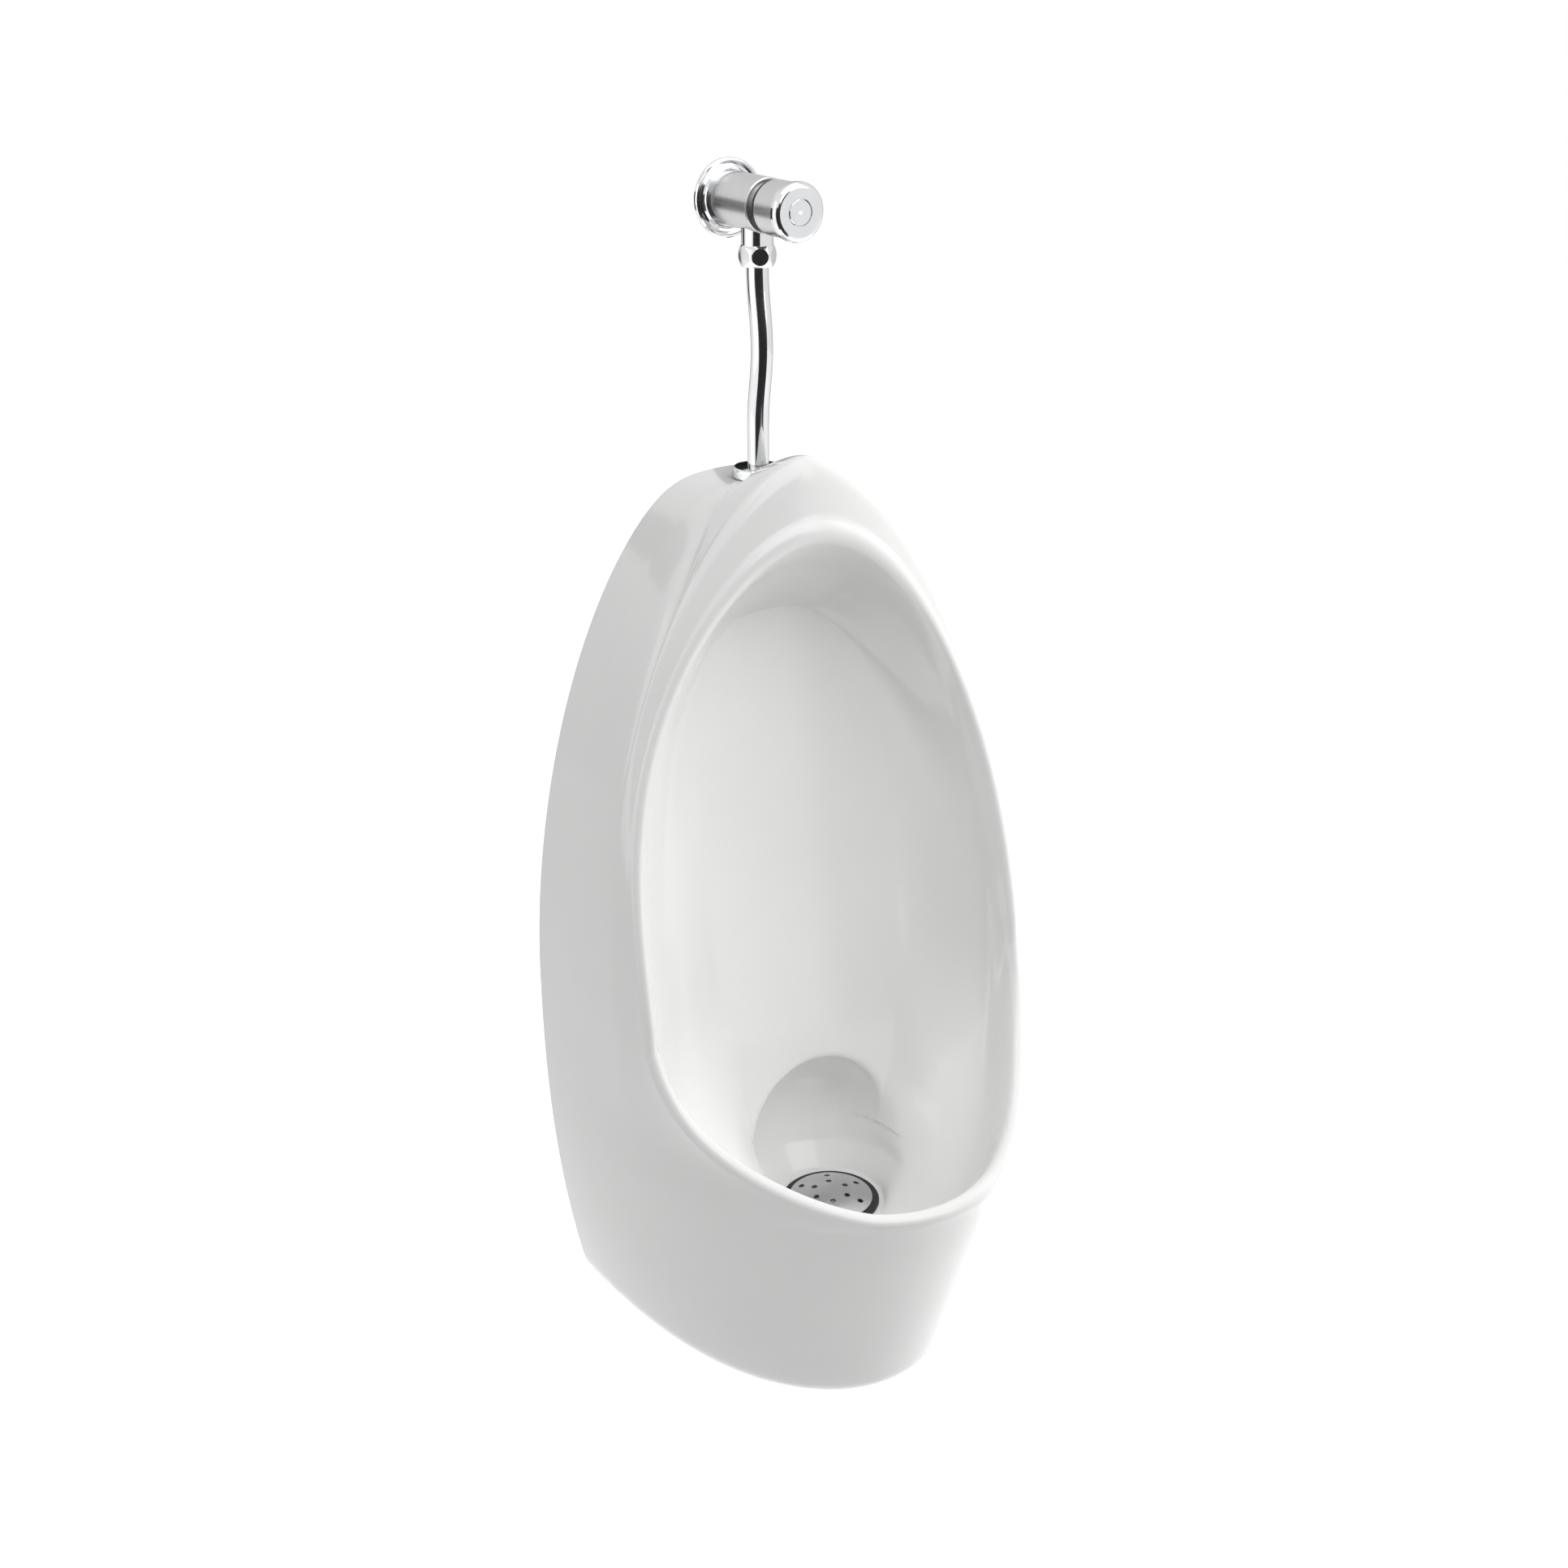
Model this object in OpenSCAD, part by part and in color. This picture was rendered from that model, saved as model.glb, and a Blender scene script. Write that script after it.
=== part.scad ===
// Wall hung urinal with an exposed push-button flush valve above it.
// Origin: midway between the two wall fixings, on the wall plane.
// +Y goes into the wall, +Z up, +X to the right seen from the front.
// The china body is one smooth shell: rings of points are carried from the wall edge
// over the outside, round the bead lip, down into the bowl and back underneath it.

/* [China outside] */
// Height of the widest level of the body above the fixings
mid_z = -205; // [-230:1:-180]
// Half of the body's width
half_w = 165.9; // [150:0.1:185]
// Height of the open bottom edge
bottom_z = -506.6; // [-530:0.2:-480]
// Share of the width lost towards the bottom
taper = 0.222; // [0:0.001:0.5]
// How late that taper sets in
taper_pow = 2.38; // [1:0.01:4]
// Radius of the rolled bottom edge
foot_r = 22; // [8:1:30]
// How much wider that roll grows at the two back corners
corner_r = 22; // [0:1:30]
// Height of the flat top ledge
ledge_z = 148.6; // [140:0.2:160]
// Peak of the wall outline before the ledge trims it
egg_top = 159.8; // [150:0.2:175]
// Softness of the ledge's corner
ledge_soft = 8; // [2:0.5:14]
// Top of the hood
hood_z = 170.8; // [160:0.2:180]
// Height of the skin at the lip, top centre
lip_top = 125.5; // [110:0.1:140]
// Distance of the lip from the wall, top centre
lip_top_d = 100.9; // [90:0.2:115]
// Forward swell of the lip at the top centre
lip_rise = 5.8; // [0:0.1:12]
// Height of the lip's widest point
lip_mid = -206.8; // [-240:0.2:-200]
// Height of the lip at the front, and of the chin below it
chin_z = -324; // [-340:0.1:-300]
// Distance of the chin from the wall
chin_d = 280.4; // [250:0.2:300]
// How far the front falls back by the bottom edge
chin_drop = 60.6; // [30:0.2:90]
// Power of that fall
drop_pow = 0.88; // [0.5:0.01:2]
// Depth of the full section at the lip's widest level
seam_d = 663.5; // [400:0.5:800]
// Power of the growth up to it
seam_pow = 2.53; // [1:0.01:4]
// Section exponent above the chin
sec_n = 2.137; // [2:0.001:3]
// Section exponent at the bottom edge
sec_bot_n = 2.007; // [2:0.001:3]
// Section angle of the lip at its widest level
lip_phi = 11.14; // [5:0.1:25]
// Power of the lip's sweep from side to front
lip_pow = 2.236; // [1:0.01:4]
// How fast the lip starts to sweep round below its widest level
lip_start = 0.58; // [0.3:0.005:1]
// How much faster it sweeps after that
lip_gain = 1.165; // [0:0.005:1.5]
// Power of the lip's depth from top to side
lip_d_pow = 2.5; // [1:0.01:4]
// Outline exponent of the hood
hood_n = 1.74; // [1.4:0.01:2.4]
// Angle over which the valley behind the hood fades out
merge = 62; // [40:1:80]
// Depth of that valley on the flank, as a share of the lip's depth
valley_f = 0.96; // [0.7:0.01:1]

/* [China lip and bowl] */
// Distance of the lip's crest from the rim's guide curve
lip_line = 7.5; // [5:0.1:10]
// Radius of the bead along the lip
lip_r = 6; // [4:0.1:10]
// How much slimmer the bead is at the sides
lip_slim = 1.2; // [0:0.1:3]
// How much fuller the bead is at the top centre
lip_swell = 6; // [0:0.1:9]
// Shell thickness
wall = 11; // [8:0.5:14]
// Half width of the back panel inside the bowl
panel_w = 78; // [60:1:90]
// Distance of the back panel from the wall at its top edge
panel_d = 50; // [40:0.5:60]
// Forward lean of the panel, per millimetre down
panel_lean = 0.2; // [0:0.005:0.4]
// How far the panel's edges stand forward of its middle
dish = 8; // [0:1:25]
// Greatest distance of the panel's middle from the wall
panel_low = 118; // [100:1:130]
// How much nearer the front the bowl's wall is on its flanks than under the hood
shoulder = 11; // [0:0.5:20]
// Power that softens the bowl's wall at its widest level
wall_soft = 1.3; // [1:0.05:2]
// Height of the panel's arched top edge
arch_z = 54.5; // [45:0.5:65]
// Distance of the waste's axis from the wall
drain_d = 135.6; // [120:0.1:150]
// Height of the bowl's floor round the waste
floor_z = -387; // [-400:0.5:-370]
// Radius of the scooped recess behind the waste
scoop_r = 57; // [45:0.5:65]
// Distance of the recess's centre from the wall
scoop_d = 122; // [110:0.5:140]
// Height of the recess's centre
scoop_z = -332; // [-345:0.5:-310]

/* [Valve] */
// Height of the valve's axis above the fixings
valve_z = 330; // [300:1:360]
// Radius of the valve body
body_r = 18.2; // [16:0.1:20]
// Distance of the body's front face from the wall
body_front = 52.5; // [45:0.5:60]
// Radius of the sleeve
sleeve_r = 18; // [16:0.05:20]
// Distance of the sleeve's rear face from the wall
sleeve_back = 61.4; // [56:0.1:66]
// Distance of the sleeve's front face from the wall
sleeve_front = 83; // [75:0.1:90]
// Radius of the push cap
cap_r = 19.1; // [17:0.1:21]
// Distance of the cap's face from the wall
cap_face = 90.2; // [85:0.1:96]
// Travel of the push cap
travel = 5; // [3:0.5:8]
// Radius of the wall flange
flange_r = 26.1; // [22:0.1:32]
// Radius of the chamber inside the body
chamber_r = 12.5; // [10:0.1:14]
// Radius of the push stem
stem_r = 4; // [3:0.1:5]
// Outside radius of the inlet thread, G 1/2
inlet_r = 10.48; // [10:0.01:13]
// Length of that thread behind the wall flange
inlet_long = 13; // [8:0.5:20]
// Radius of the nipple inside the valve
shank_r = 9.5; // [8:0.1:10]

/* [Flush pipe] */
// Outside radius of the pipe
pipe_r = 7.5; // [6:0.1:10]
// Distance of the pipe's axis from the wall
pipe_d = 38; // [34:0.1:42]
// Forward bulge of the pipe halfway down
pipe_bulge = 5.2; // [0:0.1:10]
// Half length of the bulge
bulge_half = 52; // [40:1:60]
// Distance across the coupling nut's flats
nut_af = 23; // [20:0.5:27]

/* [Waste] */
// Outside radius of the dark ring
ring_r = 36.3; // [33:0.1:40]
// Radius of the domed strainer
strainer_r = 31.2; // [28:0.1:34]
// Radius of each hole in the strainer
hole_r = 2.2; // [1.5:0.1:3]
// Turn of the hole rings about the waste's axis
hole_turn = 3; // [0:1:60]
// Outside radius of the tail thread, G 1 1/4
tail_r = 20.95; // [20:0.01:22]
// Bore of the tail
tail_bore = 17.5; // [15:0.1:19]
// Length of the tail below the bowl's floor
tail_long = 58; // [50:1:80]
// Outside radius of the rubber washer under the china
washer_r = 32; // [28:0.5:36]
// Thickness of that washer
washer_t = 4; // [2:0.5:6]
// Corner radius of the back nut
backnut_r = 33; // [28:0.5:38]
// Height of the back nut
backnut_h = 8; // [6:0.5:12]
// Thickness of the china round the waste
boss_t = 12; // [10:0.5:16]

/* [Fixings] */
// Distance between the two wall fixings
fix_w = 150; // [120:1:200]
// Radius of a fixing screw's thread
screw_r = 4; // [3:0.1:6]
// Length of that thread in the wall
screw_long = 38; // [30:1:60]
// Thickness of the hanger's plate
plate_t = 4; // [3:0.5:5]
// Thickness of the washer under the screw's head
wash_t = 1.6; // [1:0.1:3]

/* [Hidden] */
// Stations round the body, for one half: top centre 0, side 90, bottom centre 180
steps = 30;
t_corner = 132;
sl = [0, 0.3, 0.55, 0.7, 0.78, 0.85, 0.93, 1];
// For each ring of the hood: depth share at the top, peak height, ledge height, outline exponent
top_f = [0, 0.28, 0.41, 0.48, 0.565, 0.83, 0.94, 1];
top_z = [egg_top, egg_top, egg_top, 158, 163, hood_z, 165, lip_top];
trim_z = [ledge_z, ledge_z + 0.5, ledge_z + 1.5, 151.5, 999, 999, 999, 999];
top_n = [1.9, 1.9, 1.9, 1.9, hood_n, hood_n, hood_n, 1.92];
// How far each ring follows the valley forward on the hood's flank
pull = [0, 0, 0, 0.8, 0.85, 0.8, 1, 0];
// Rings of the bowl: half width, top, middle and bottom height, depth at top, side and bottom
bowl_1 = [140, 88, -200, -364, 81, 130, 246, 2.3, 2.2];
bowl_2 = [112, 65, -140, -386.5, 59, 108, 205, 2.3, 2.3];
bowl_3 = [panel_w, arch_z + 0.5, -70, -382, 0, 0, 0, 2.6, 2.6];
bowl_4 = [panel_w - 13, arch_z - 6, -80, -345, 0, 0, 0, 2.5, 2.4];
bowl_5 = [panel_w - 42, -10, -110, -285, 0, 0, 0, 2.2, 2.2];
bowl_pole_z = -145;

function lerp(a, b, u) = a + (b - a) * u;
function clamp(v, lo, hi) = min(hi, max(lo, v));
function ease(u) = let(c = clamp(u, 0, 1)) c * c * (3 - 2 * c);
function pw(v, e) = v <= 0 ? 0 : pow(v, e);
function unit(v) = v / max(norm(v), 1e-9);
function flip(p) = [-p[0], p[1], p[2]];

// Half width, edge roll and depth of the section at a height
function width_at(z) =
    let(f = clamp((mid_z - z) / (mid_z - bottom_z), 0, 1))
    half_w * (1 - taper * pw(f, taper_pow));
function roll_at(z, phi) =
    let(r = foot_r + corner_r * pow(cos(phi), 6), h = clamp(r - (z - bottom_z), 0, r))
    r - sqrt(r * r - h * h);
function drop_at(z) = clamp((chin_z - z) / (chin_z - bottom_z), 0, 1);
function depth_at(z) =
    let(u = clamp((z - chin_z) / (lip_mid - chin_z), 0, 1.3))
    chin_d - chin_drop * pw(drop_at(z), drop_pow) + (seam_d - chin_d) * pw(u, seam_pow);
function section(z, phi) =
    let(e = 2 / lerp(sec_n, sec_bot_n, drop_at(z)), r = roll_at(z, phi))
    [(width_at(z) - r) * pw(cos(phi), e), -(depth_at(z) - r) * pw(sin(phi), e), z];

// Lower half of the skin, from the wall and bottom edges to the lip
function low_skin(t, s) =
    let(
        on_wall = t < t_corner,
        za = on_wall ? lerp(mid_z, bottom_z, (t - 90) / (t_corner - 90)) : bottom_z,
        pa = on_wall ? 0 : 90 * (t - t_corner) / (180 - t_corner),
        k = (t - 90) / 90,
        sweep = lip_start * k + lip_gain * k * k + (1 - lip_start - lip_gain) * k * k * k,
        pe = lerp(lip_phi, 90, sweep),
        ze = lip_mid + (chin_z - lip_mid) * (1 - pw(1 - k, lip_pow))
    )
    section(lerp(za, ze, s), lerp(pa, pe, s));

// Upper half: eight egg-shaped rings, joined by a smooth curve
function lip_depth(t) =
    let(side = -section(lip_mid, lip_phi)[1], c = cos(t))
    lip_top_d + (side - lip_top_d) * pw(1 - c, lip_d_pow) + lip_rise * pw(c, 8);
function soft_cut(v, cut) = cut > 900 ? v : cut - ledge_soft * ln(1 + exp((cut - v) / ledge_soft));
function hood_ring(i, t) =
    let(
        s = sl[i],
        z0 = lerp(mid_z, lip_mid, s),
        p0 = section(z0, lip_phi * s),
        n1 = lerp(1.9, 2.62, s),
        e = 2 / lerp(top_n[i], n1, t * t / 8100),
        side_f = p0[1] / section(lip_mid, lip_phi)[1],
        flank = pull[i] * ease((t - 10) / 42) * (1 - ease((t - 55) / 35)),
        f = lerp(lerp(top_f[i], side_f, ease(t / merge)), valley_f, flank),
        z = z0 + (top_z[i] - z0) * pw(cos(t), e)
    )
    [p0[0] * pw(sin(t), e), -f * lip_depth(t), soft_cut(z, trim_z[i])];
function slope(a, b, c, h0, h1) = ((b - a) / h0 * h1 + (c - b) / h1 * h0) / (h0 + h1);
function hood_slope(i, t) =
    i == 0 ? (hood_ring(1, t) - hood_ring(0, t)) / sl[1]
    : i == 7 ? (hood_ring(7, t) - hood_ring(6, t)) / (sl[7] - sl[6])
    : let(a = hood_ring(i - 1, t), b = hood_ring(i, t), c = hood_ring(i + 1, t))
    slope(a, b, c, sl[i] - sl[i - 1], sl[i + 1] - sl[i]);
function hermite(a, b, ta, tb, u) =
    (2 * u * u * u - 3 * u * u + 1) * a + (u * u * u - 2 * u * u + u) * ta
    + (3 * u * u - 2 * u * u * u) * b + (u * u * u - u * u) * tb;
function station(s) = s >= sl[6] ? 6 : max([for (i = [0:6]) s >= sl[i] ? i : 0]);
function high_skin(t, s) =
    let(i = station(s), h = sl[i + 1] - sl[i], a = hood_ring(i, t), b = hood_ring(i + 1, t))
    hermite(a, b, h * hood_slope(i, t), h * hood_slope(i + 1, t), (s - sl[i]) / h);
function half_skin(t, s) = t < 90 ? high_skin(t, s) : low_skin(t, s);
function plain_skin(t, s) =
    t < 0 ? flip(half_skin(-t, s)) : t > 180 ? flip(half_skin(360 - t, s)) : half_skin(t, s);

// Directions at the lip: along the skin's end, and inwards across the bead
function lip_along(t) =
    let(low = unit(low_skin(max(t, 90), 1) - low_skin(max(t, 90), 0.97)), c = max(cos(t), 0))
    let(high = unit([-sin(t) * 0.9 * pw(c, 1.5), -1, -c * 0.9 * pw(c, 1.5)]))
    unit(lerp(high, low, ease((t - 50) / 40)));
function lip_in(t) = unit(cross(plain_skin(t + 1, 1) - plain_skin(t - 1, 1), lip_along(t)));

// Skin with its edge led to the bead, its inner side, and the bead, whose share runs from 0 to 1
function lip_radius(t) = lip_r - lip_slim * pow(sin(t), 4) + lip_swell * (1 - ease(t / 55));
function skin(t, s) =
    let(w = (lip_line - lip_radius(t)) * ease((s - 0.75) / 0.25))
    w == 0 ? plain_skin(t, s) : plain_skin(t, s) + w * (lip_along(t) + lip_in(t));
function skin_in(t, s) =
    let(across = plain_skin(t + 1, s) - plain_skin(t - 1, s))
    let(p = plain_skin(t, s) + wall * unit(cross(across, plain_skin(t, s + 0.02) - plain_skin(t, s))))
    [p[0], (s == 0 && t <= t_corner) ? 0 : min(p[1], 0), p[2]];
function bead_point(t, a) =
    skin(t, 1) + lip_radius(t) * (sin(a) * lip_along(t) + (1 - cos(a)) * lip_in(t));
function bead_end(t) =
    let(d = bowl_ring(bowl_1, t) - bead_point(t, 150), a = atan2(d * lip_in(t), d * lip_along(t)))
    a < 0 ? a + 360 : a;
function bead(t, share) = bead_point(t, share * bead_end(t));

// Bowl: the lip's inner edge, five rings and a pole on the back panel
function panel_at(x, z) =
    soft_cut(panel_d + panel_lean * (arch_z - z), panel_low) + dish * pow(x / panel_w, 2);
function on_panel(x, z) = [x, -panel_at(x, z), z];
function bowl_ring(r, t) =
    let(
        up = t < 90,
        c = abs(cos(t)),
        e = 2 / (up ? r[7] : r[8]),
        x = r[0] * pw(sin(t), e),
        z = r[2] + ((up ? r[1] : r[3]) - r[2]) * pw(c, e),
        top = r[4] + shoulder * ease((t - 15) / 30),
        g = up ? 1 - pw(1 - pw(c, wall_soft), lip_d_pow) : c * c
    )
    r[5] == 0 ? on_panel(x, z) : [x, -lerp(r[5], up ? top : r[6], g), z];
function bowl_knot(i, t) =
    i <= 0 ? bead(t, 1)
    : i >= 6 ? on_panel(0, bowl_pole_z)
    : bowl_ring([bowl_1, bowl_2, bowl_3, bowl_4, bowl_5][i - 1], t);
function bowl_slope(i, t) =
    let(v = (bowl_knot(i + 1, t) - bowl_knot(i - 1, t)) / 2)
    let(a = bead_end(t), p = bowl_knot(i, t), step = 1e-3)
    i == 0 ? 2 * norm(v) * (cos(a) * lip_along(t) + sin(a) * lip_in(t))
    : i == 3 ? (on_panel(p[0] + step * v[0], p[2] + step * v[2]) - p) / step
    : i >= 6 ? bowl_knot(6, t) - bowl_knot(5, t)
    : v;
function half_bowl(t, u) =
    let(i = min(floor(u), 5), a = bowl_knot(i, t), b = bowl_knot(i + 1, t))
    let(p = hermite(a, b, bowl_slope(i, t), bowl_slope(i + 1, t), u - i))
    u < 3 ? p : on_panel(p[0], p[2]);
function bowl(t, u) =
    t < 0 ? flip(half_bowl(-t, u)) : t > 180 ? flip(half_bowl(360 - t, u)) : half_bowl(t, u);
function bowl_out(t, u) =
    bowl(t, u) + wall * unit(cross(bowl(t + 1, u) - bowl(t - 1, u), bowl(t, u + 0.02) - bowl(t, u - 0.02)));

module shell() {
    skin_s = [0, 0.12, 0.25, 0.4, 0.55, 0.64, 0.7, 0.75, 0.8, 0.86, 0.91, 0.94, 0.97, 1];
    bead_share = [0.2, 0.4, 0.6, 0.8, 1];
    bowl_u = [0.35, 0.7, 1, 1.45, 1.9, 2.35, 2.75, 3, 3.3, 4, 5];
    back_u = [5, 4, 3, 2.5, 2, 1.6, 1.25];
    back_s = [0.6, 0.45, 0.3, 0.15, 0];
    half = [for (k = [0:steps]) 180 * k / steps];
    rings = concat(
        [for (u = back_u) [for (t = half) bowl_out(t, u)]],
        [for (s = back_s) [for (t = half) skin_in(t, s)]],
        [for (s = skin_s) [for (t = half) skin(t, s)]],
        [for (a = bead_share) [for (t = half) bead(t, a)]],
        [for (u = bowl_u) [for (t = half) bowl(t, u)]]
    );
    n = 2 * steps;
    rows = len(rings);
    pole = bowl_knot(6, 0);
    points = concat(
        [for (r = rings) for (k = [0:n - 1]) k == 0 || k == steps ? [0, r[k][1], r[k][2]]
            : k < steps ? r[k] : flip(r[n - k])],
        [pole + [0, wall, 0], pole]
    );
    sides = [for (j = [0:rows - 2]) for (k = [0:n - 1]) for (h = [0, 1])
        let(a = j * n + k, b = j * n + (k + 1) % n, c = a + n, d = b + n)
        k < steps ? (h == 0 ? [a, b, d] : [a, d, c]) : (h == 0 ? [a, b, c] : [b, d, c])];
    ends = concat(
        [for (k = [0:n - 1]) [rows * n, (k + 1) % n, k]],
        [for (k = [0:n - 1]) [rows * n + 1, (rows - 1) * n + k, (rows - 1) * n + (k + 1) % n]]
    );
    polyhedron(points = points, faces = concat(sides, ends), convexity = 12);
}

// Places parts whose own +Z runs out from the wall along the valve's axis
module on_valve() {
    translate([0, 0, valve_z]) rotate([90, 0, 0]) children();
}
// Places parts that stand on the pipe's axis, heights counted from the valve's axis
module on_pipe() {
    translate([0, -pipe_d, valve_z]) children();
}
// Places parts on the waste's axis, heights counted from the bowl's floor
module on_waste() {
    translate([0, -drain_d, floor_z]) children();
}
module ring(r_out, r_in, z0, z1, fn = 72) {
    translate([0, 0, z0]) difference() {
        cylinder(r = r_out, h = z1 - z0, $fn = fn);
        translate([0, 0, -1]) cylinder(r = r_in, h = z1 - z0 + 2, $fn = fn);
    }
}
module turned(profile, fn = 72) {
    rotate_extrude($fn = fn) polygon(profile);
}
module scoop(grow) {
    translate([0, -scoop_d, scoop_z]) turned([for (a = [-90:10:90])
        [max(0, (scoop_r + grow) * cos(a)), (scoop_r - 3 + grow) * sin(a)]], 48);
}

// Block from the wall to just short of the bowl's surface, which keeps china behind the recess
module recess_back() {
    outline = [
        [0, scoop_z + scoop_r + wall], [12 - scoop_d, scoop_z + scoop_r + wall],
        [9 - scoop_d, scoop_z + 42], [2 - scoop_d, scoop_z + 2], [-13 - scoop_d, scoop_z - 25],
        [-13 - scoop_d, floor_z - 10], [0, floor_z - 10]
    ];
    rotate([90, 0, 90]) linear_extrude(160, center = true) polygon(outline);
}

seat_z = ledge_z - 0.4;
// Flare of the bowl's floor round the waste: radius and height
function trumpet(k) = [ring_r + 1.7 + 10 * k + 8 * k * k, 40 * (1 - pow(1 - k, 2)) * (0.35 + 0.65 * k)];
hanger_x = fix_w / 2;

// A slab of china behind the bowl, thicker towards its lower end
module hanger_lug(side) {
    translate([side * hanger_x - 23, 0, 0]) hull() {
        translate([0, -50, 31]) cube([46, 50, 1]);
        translate([0, -62, -42]) cube([46, 62, 1]);
    }
}
// A pocket with rounded corners, open to the wall
module pocket(w, y0, y1, z0, z1) {
    hull() for (x = [-w + 3, w - 3]) for (z = [z0 + 3, z1 - 3])
        translate([x, y1, z]) rotate([90, 0, 0]) cylinder(r = 3, h = y1 - y0, $fn = 16);
}
// Room for one hanger: its plate, its arm from below, and its tongue behind the china's lip
module hook_room(side) {
    translate([side * hanger_x, 0, 0]) {
        pocket(17, -4.5, 10, -60, 30);
        pocket(17, -16, 4, -60, 16);
        pocket(17, -16, -9.8, 0, 29);
    }
}
module china_body() {
    color([0.96, 0.96, 0.95]) difference() {
        union() {
            shell();
            intersection() {
                scoop(wall);
                recess_back();
            }
            intersection() {
                on_waste() translate([0, 0, -boss_t]) cylinder(r = 52, h = 34, $fn = 72);
                translate([-80, -126, floor_z - 20]) cube([160, 110, 60]);
            }
            on_waste() translate([0, 0, -boss_t]) cylinder(r = 44, h = boss_t - 0.4, $fn = 72);
            hanger_lug(-1);
            hanger_lug(1);
        }
        scoop(0);
        on_waste() turned(
            concat([[0, 0], [ring_r + 1.5, 0]], [for (k = [0:8]) trumpet(k / 8)], [[0, 40]]), 60);
        on_waste() translate([0, 0, -8.2]) cylinder(r = 30.2, h = 20, $fn = 72);
        on_waste() translate([0, 0, -60]) cylinder(r = 21.3, h = 80, $fn = 72);
        translate([0, -pipe_d, seat_z]) cylinder(r = 18.6, h = 40, $fn = 72);
        translate([0, -pipe_d, seat_z - 40]) cylinder(r = 12, h = 60, $fn = 72);
        hook_room(-1);
        hook_room(1);
    }
}

module waste_strainer() {
    function dome(r, z) = [r, z + 5.1 * (1 - pow(r / strainer_r, 2))];
    outer = [for (k = [0:10]) dome(strainer_r * (1 - k / 10), 3.4)];
    inner = [for (k = [0:10]) dome((strainer_r - 1.3) * k / 10, 2.2)];
    color([0.82, 0.83, 0.85]) on_waste() difference() {
        union() {
            turned(concat(outer, inner, [[strainer_r - 1.3, 2.05], [strainer_r, 2.05]]));
            ring(27.8, 26.8, -5, 3.6);
        }
        for (k = [0:5]) rotate([0, 0, 60 * k + hole_turn]) {
            translate([13.4, 0, 0]) cylinder(r = hole_r, h = 20, $fn = 24);
            translate([24, 0, 0]) cylinder(r = hole_r, h = 20, $fn = 24);
        }
    }
}
module strainer_gasket() {
    color([0.06, 0.06, 0.06]) on_waste()
        turned([
            [29.8, 0], [ring_r - 0.3, 0], [ring_r, 0.4], [ring_r, 1.3], [ring_r - 0.6, 1.8], [29.8, 1.8]
        ]);
}
module waste_body() {
    color([0.7, 0.71, 0.73]) on_waste() turned([
        [tail_bore, -8], [28.3, -8], [28.3, 0.6], [28.3, 2], [31, 2], [31, 1.8], [29.8, 1.8], [29.8, -8.2],
        [tail_r, -8.2], [tail_r, -26], [tail_r - 0.8, -26.8], [tail_r - 0.8, -27.6], [tail_r, -28.4],
        [tail_r, 1 - tail_long], [tail_r - 1, -tail_long], [tail_bore, -tail_long]]);
}
module waste_washer() {
    color([0.1, 0.1, 0.1]) on_waste() ring(washer_r, tail_r, -boss_t - washer_t, -boss_t);
}
module waste_backnut() {
    r = backnut_r;
    h = backnut_h;
    color([0.72, 0.6, 0.3]) on_waste() translate([0, 0, -boss_t - washer_t - h]) difference() {
        intersection() {
            cylinder(r = r, h = h, $fn = 6);
            turned([[0, 0], [r - 4, 0], [r - 1, 2], [r - 1, h], [0, h]]);
        }
        translate([0, 0, -1]) cylinder(r = tail_r, h = h + 2, $fn = 72);
    }
}

// A plate on the wall with an arm that turns up into a tongue
module hanger(side) {
    t = plate_t;
    translate([side * hanger_x, 0, 0]) difference() {
        translate([-15, 0, 0]) rotate([90, 0, 90]) linear_extrude(30) polygon([
            [0, -26], [-t, -26], [-t, 12], [-10, 12], [-14, 16], [-14, 27], [-10, 27], [-10, 16], [-t, 16],
            [-t, 27], [0, 27]]);
        translate([0, 2, 0]) rotate([90, 0, 0]) cylinder(r = screw_r + 0.3, h = t + 4, $fn = 32);
    }
}
module wall_hangers() {
    color([0.62, 0.64, 0.66]) {
        hanger(-1);
        hanger(1);
    }
}
module hanger_washer(side) {
    translate([side * hanger_x, 0, 0]) rotate([90, 0, 0]) 
        ring(8.5, screw_r + 0.3, plate_t, plate_t + wash_t, 36);
}
module hanger_washers() {
    color([0.75, 0.76, 0.78]) {
        hanger_washer(-1);
        hanger_washer(1);
    }
}
module hanger_screw(side) {
    translate([side * hanger_x, 0, 0]) rotate([90, 0, 0]) {
        translate([0, 0, -screw_long - 6]) cylinder(r1 = 1.5, r2 = screw_r, h = 6, $fn = 32);
        translate([0, 0, -screw_long]) cylinder(r = screw_r, h = screw_long, $fn = 32);
        translate([0, 0, -1]) cylinder(r = screw_r - 0.4, h = plate_t + wash_t + 1.1, $fn = 32);
        translate([0, 0, plate_t + wash_t]) cylinder(r = 7.4, h = 5, $fn = 6);
    }
}
module hanger_screws() {
    color([0.75, 0.76, 0.78]) {
        hanger_screw(-1);
        hanger_screw(1);
    }
}

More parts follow.
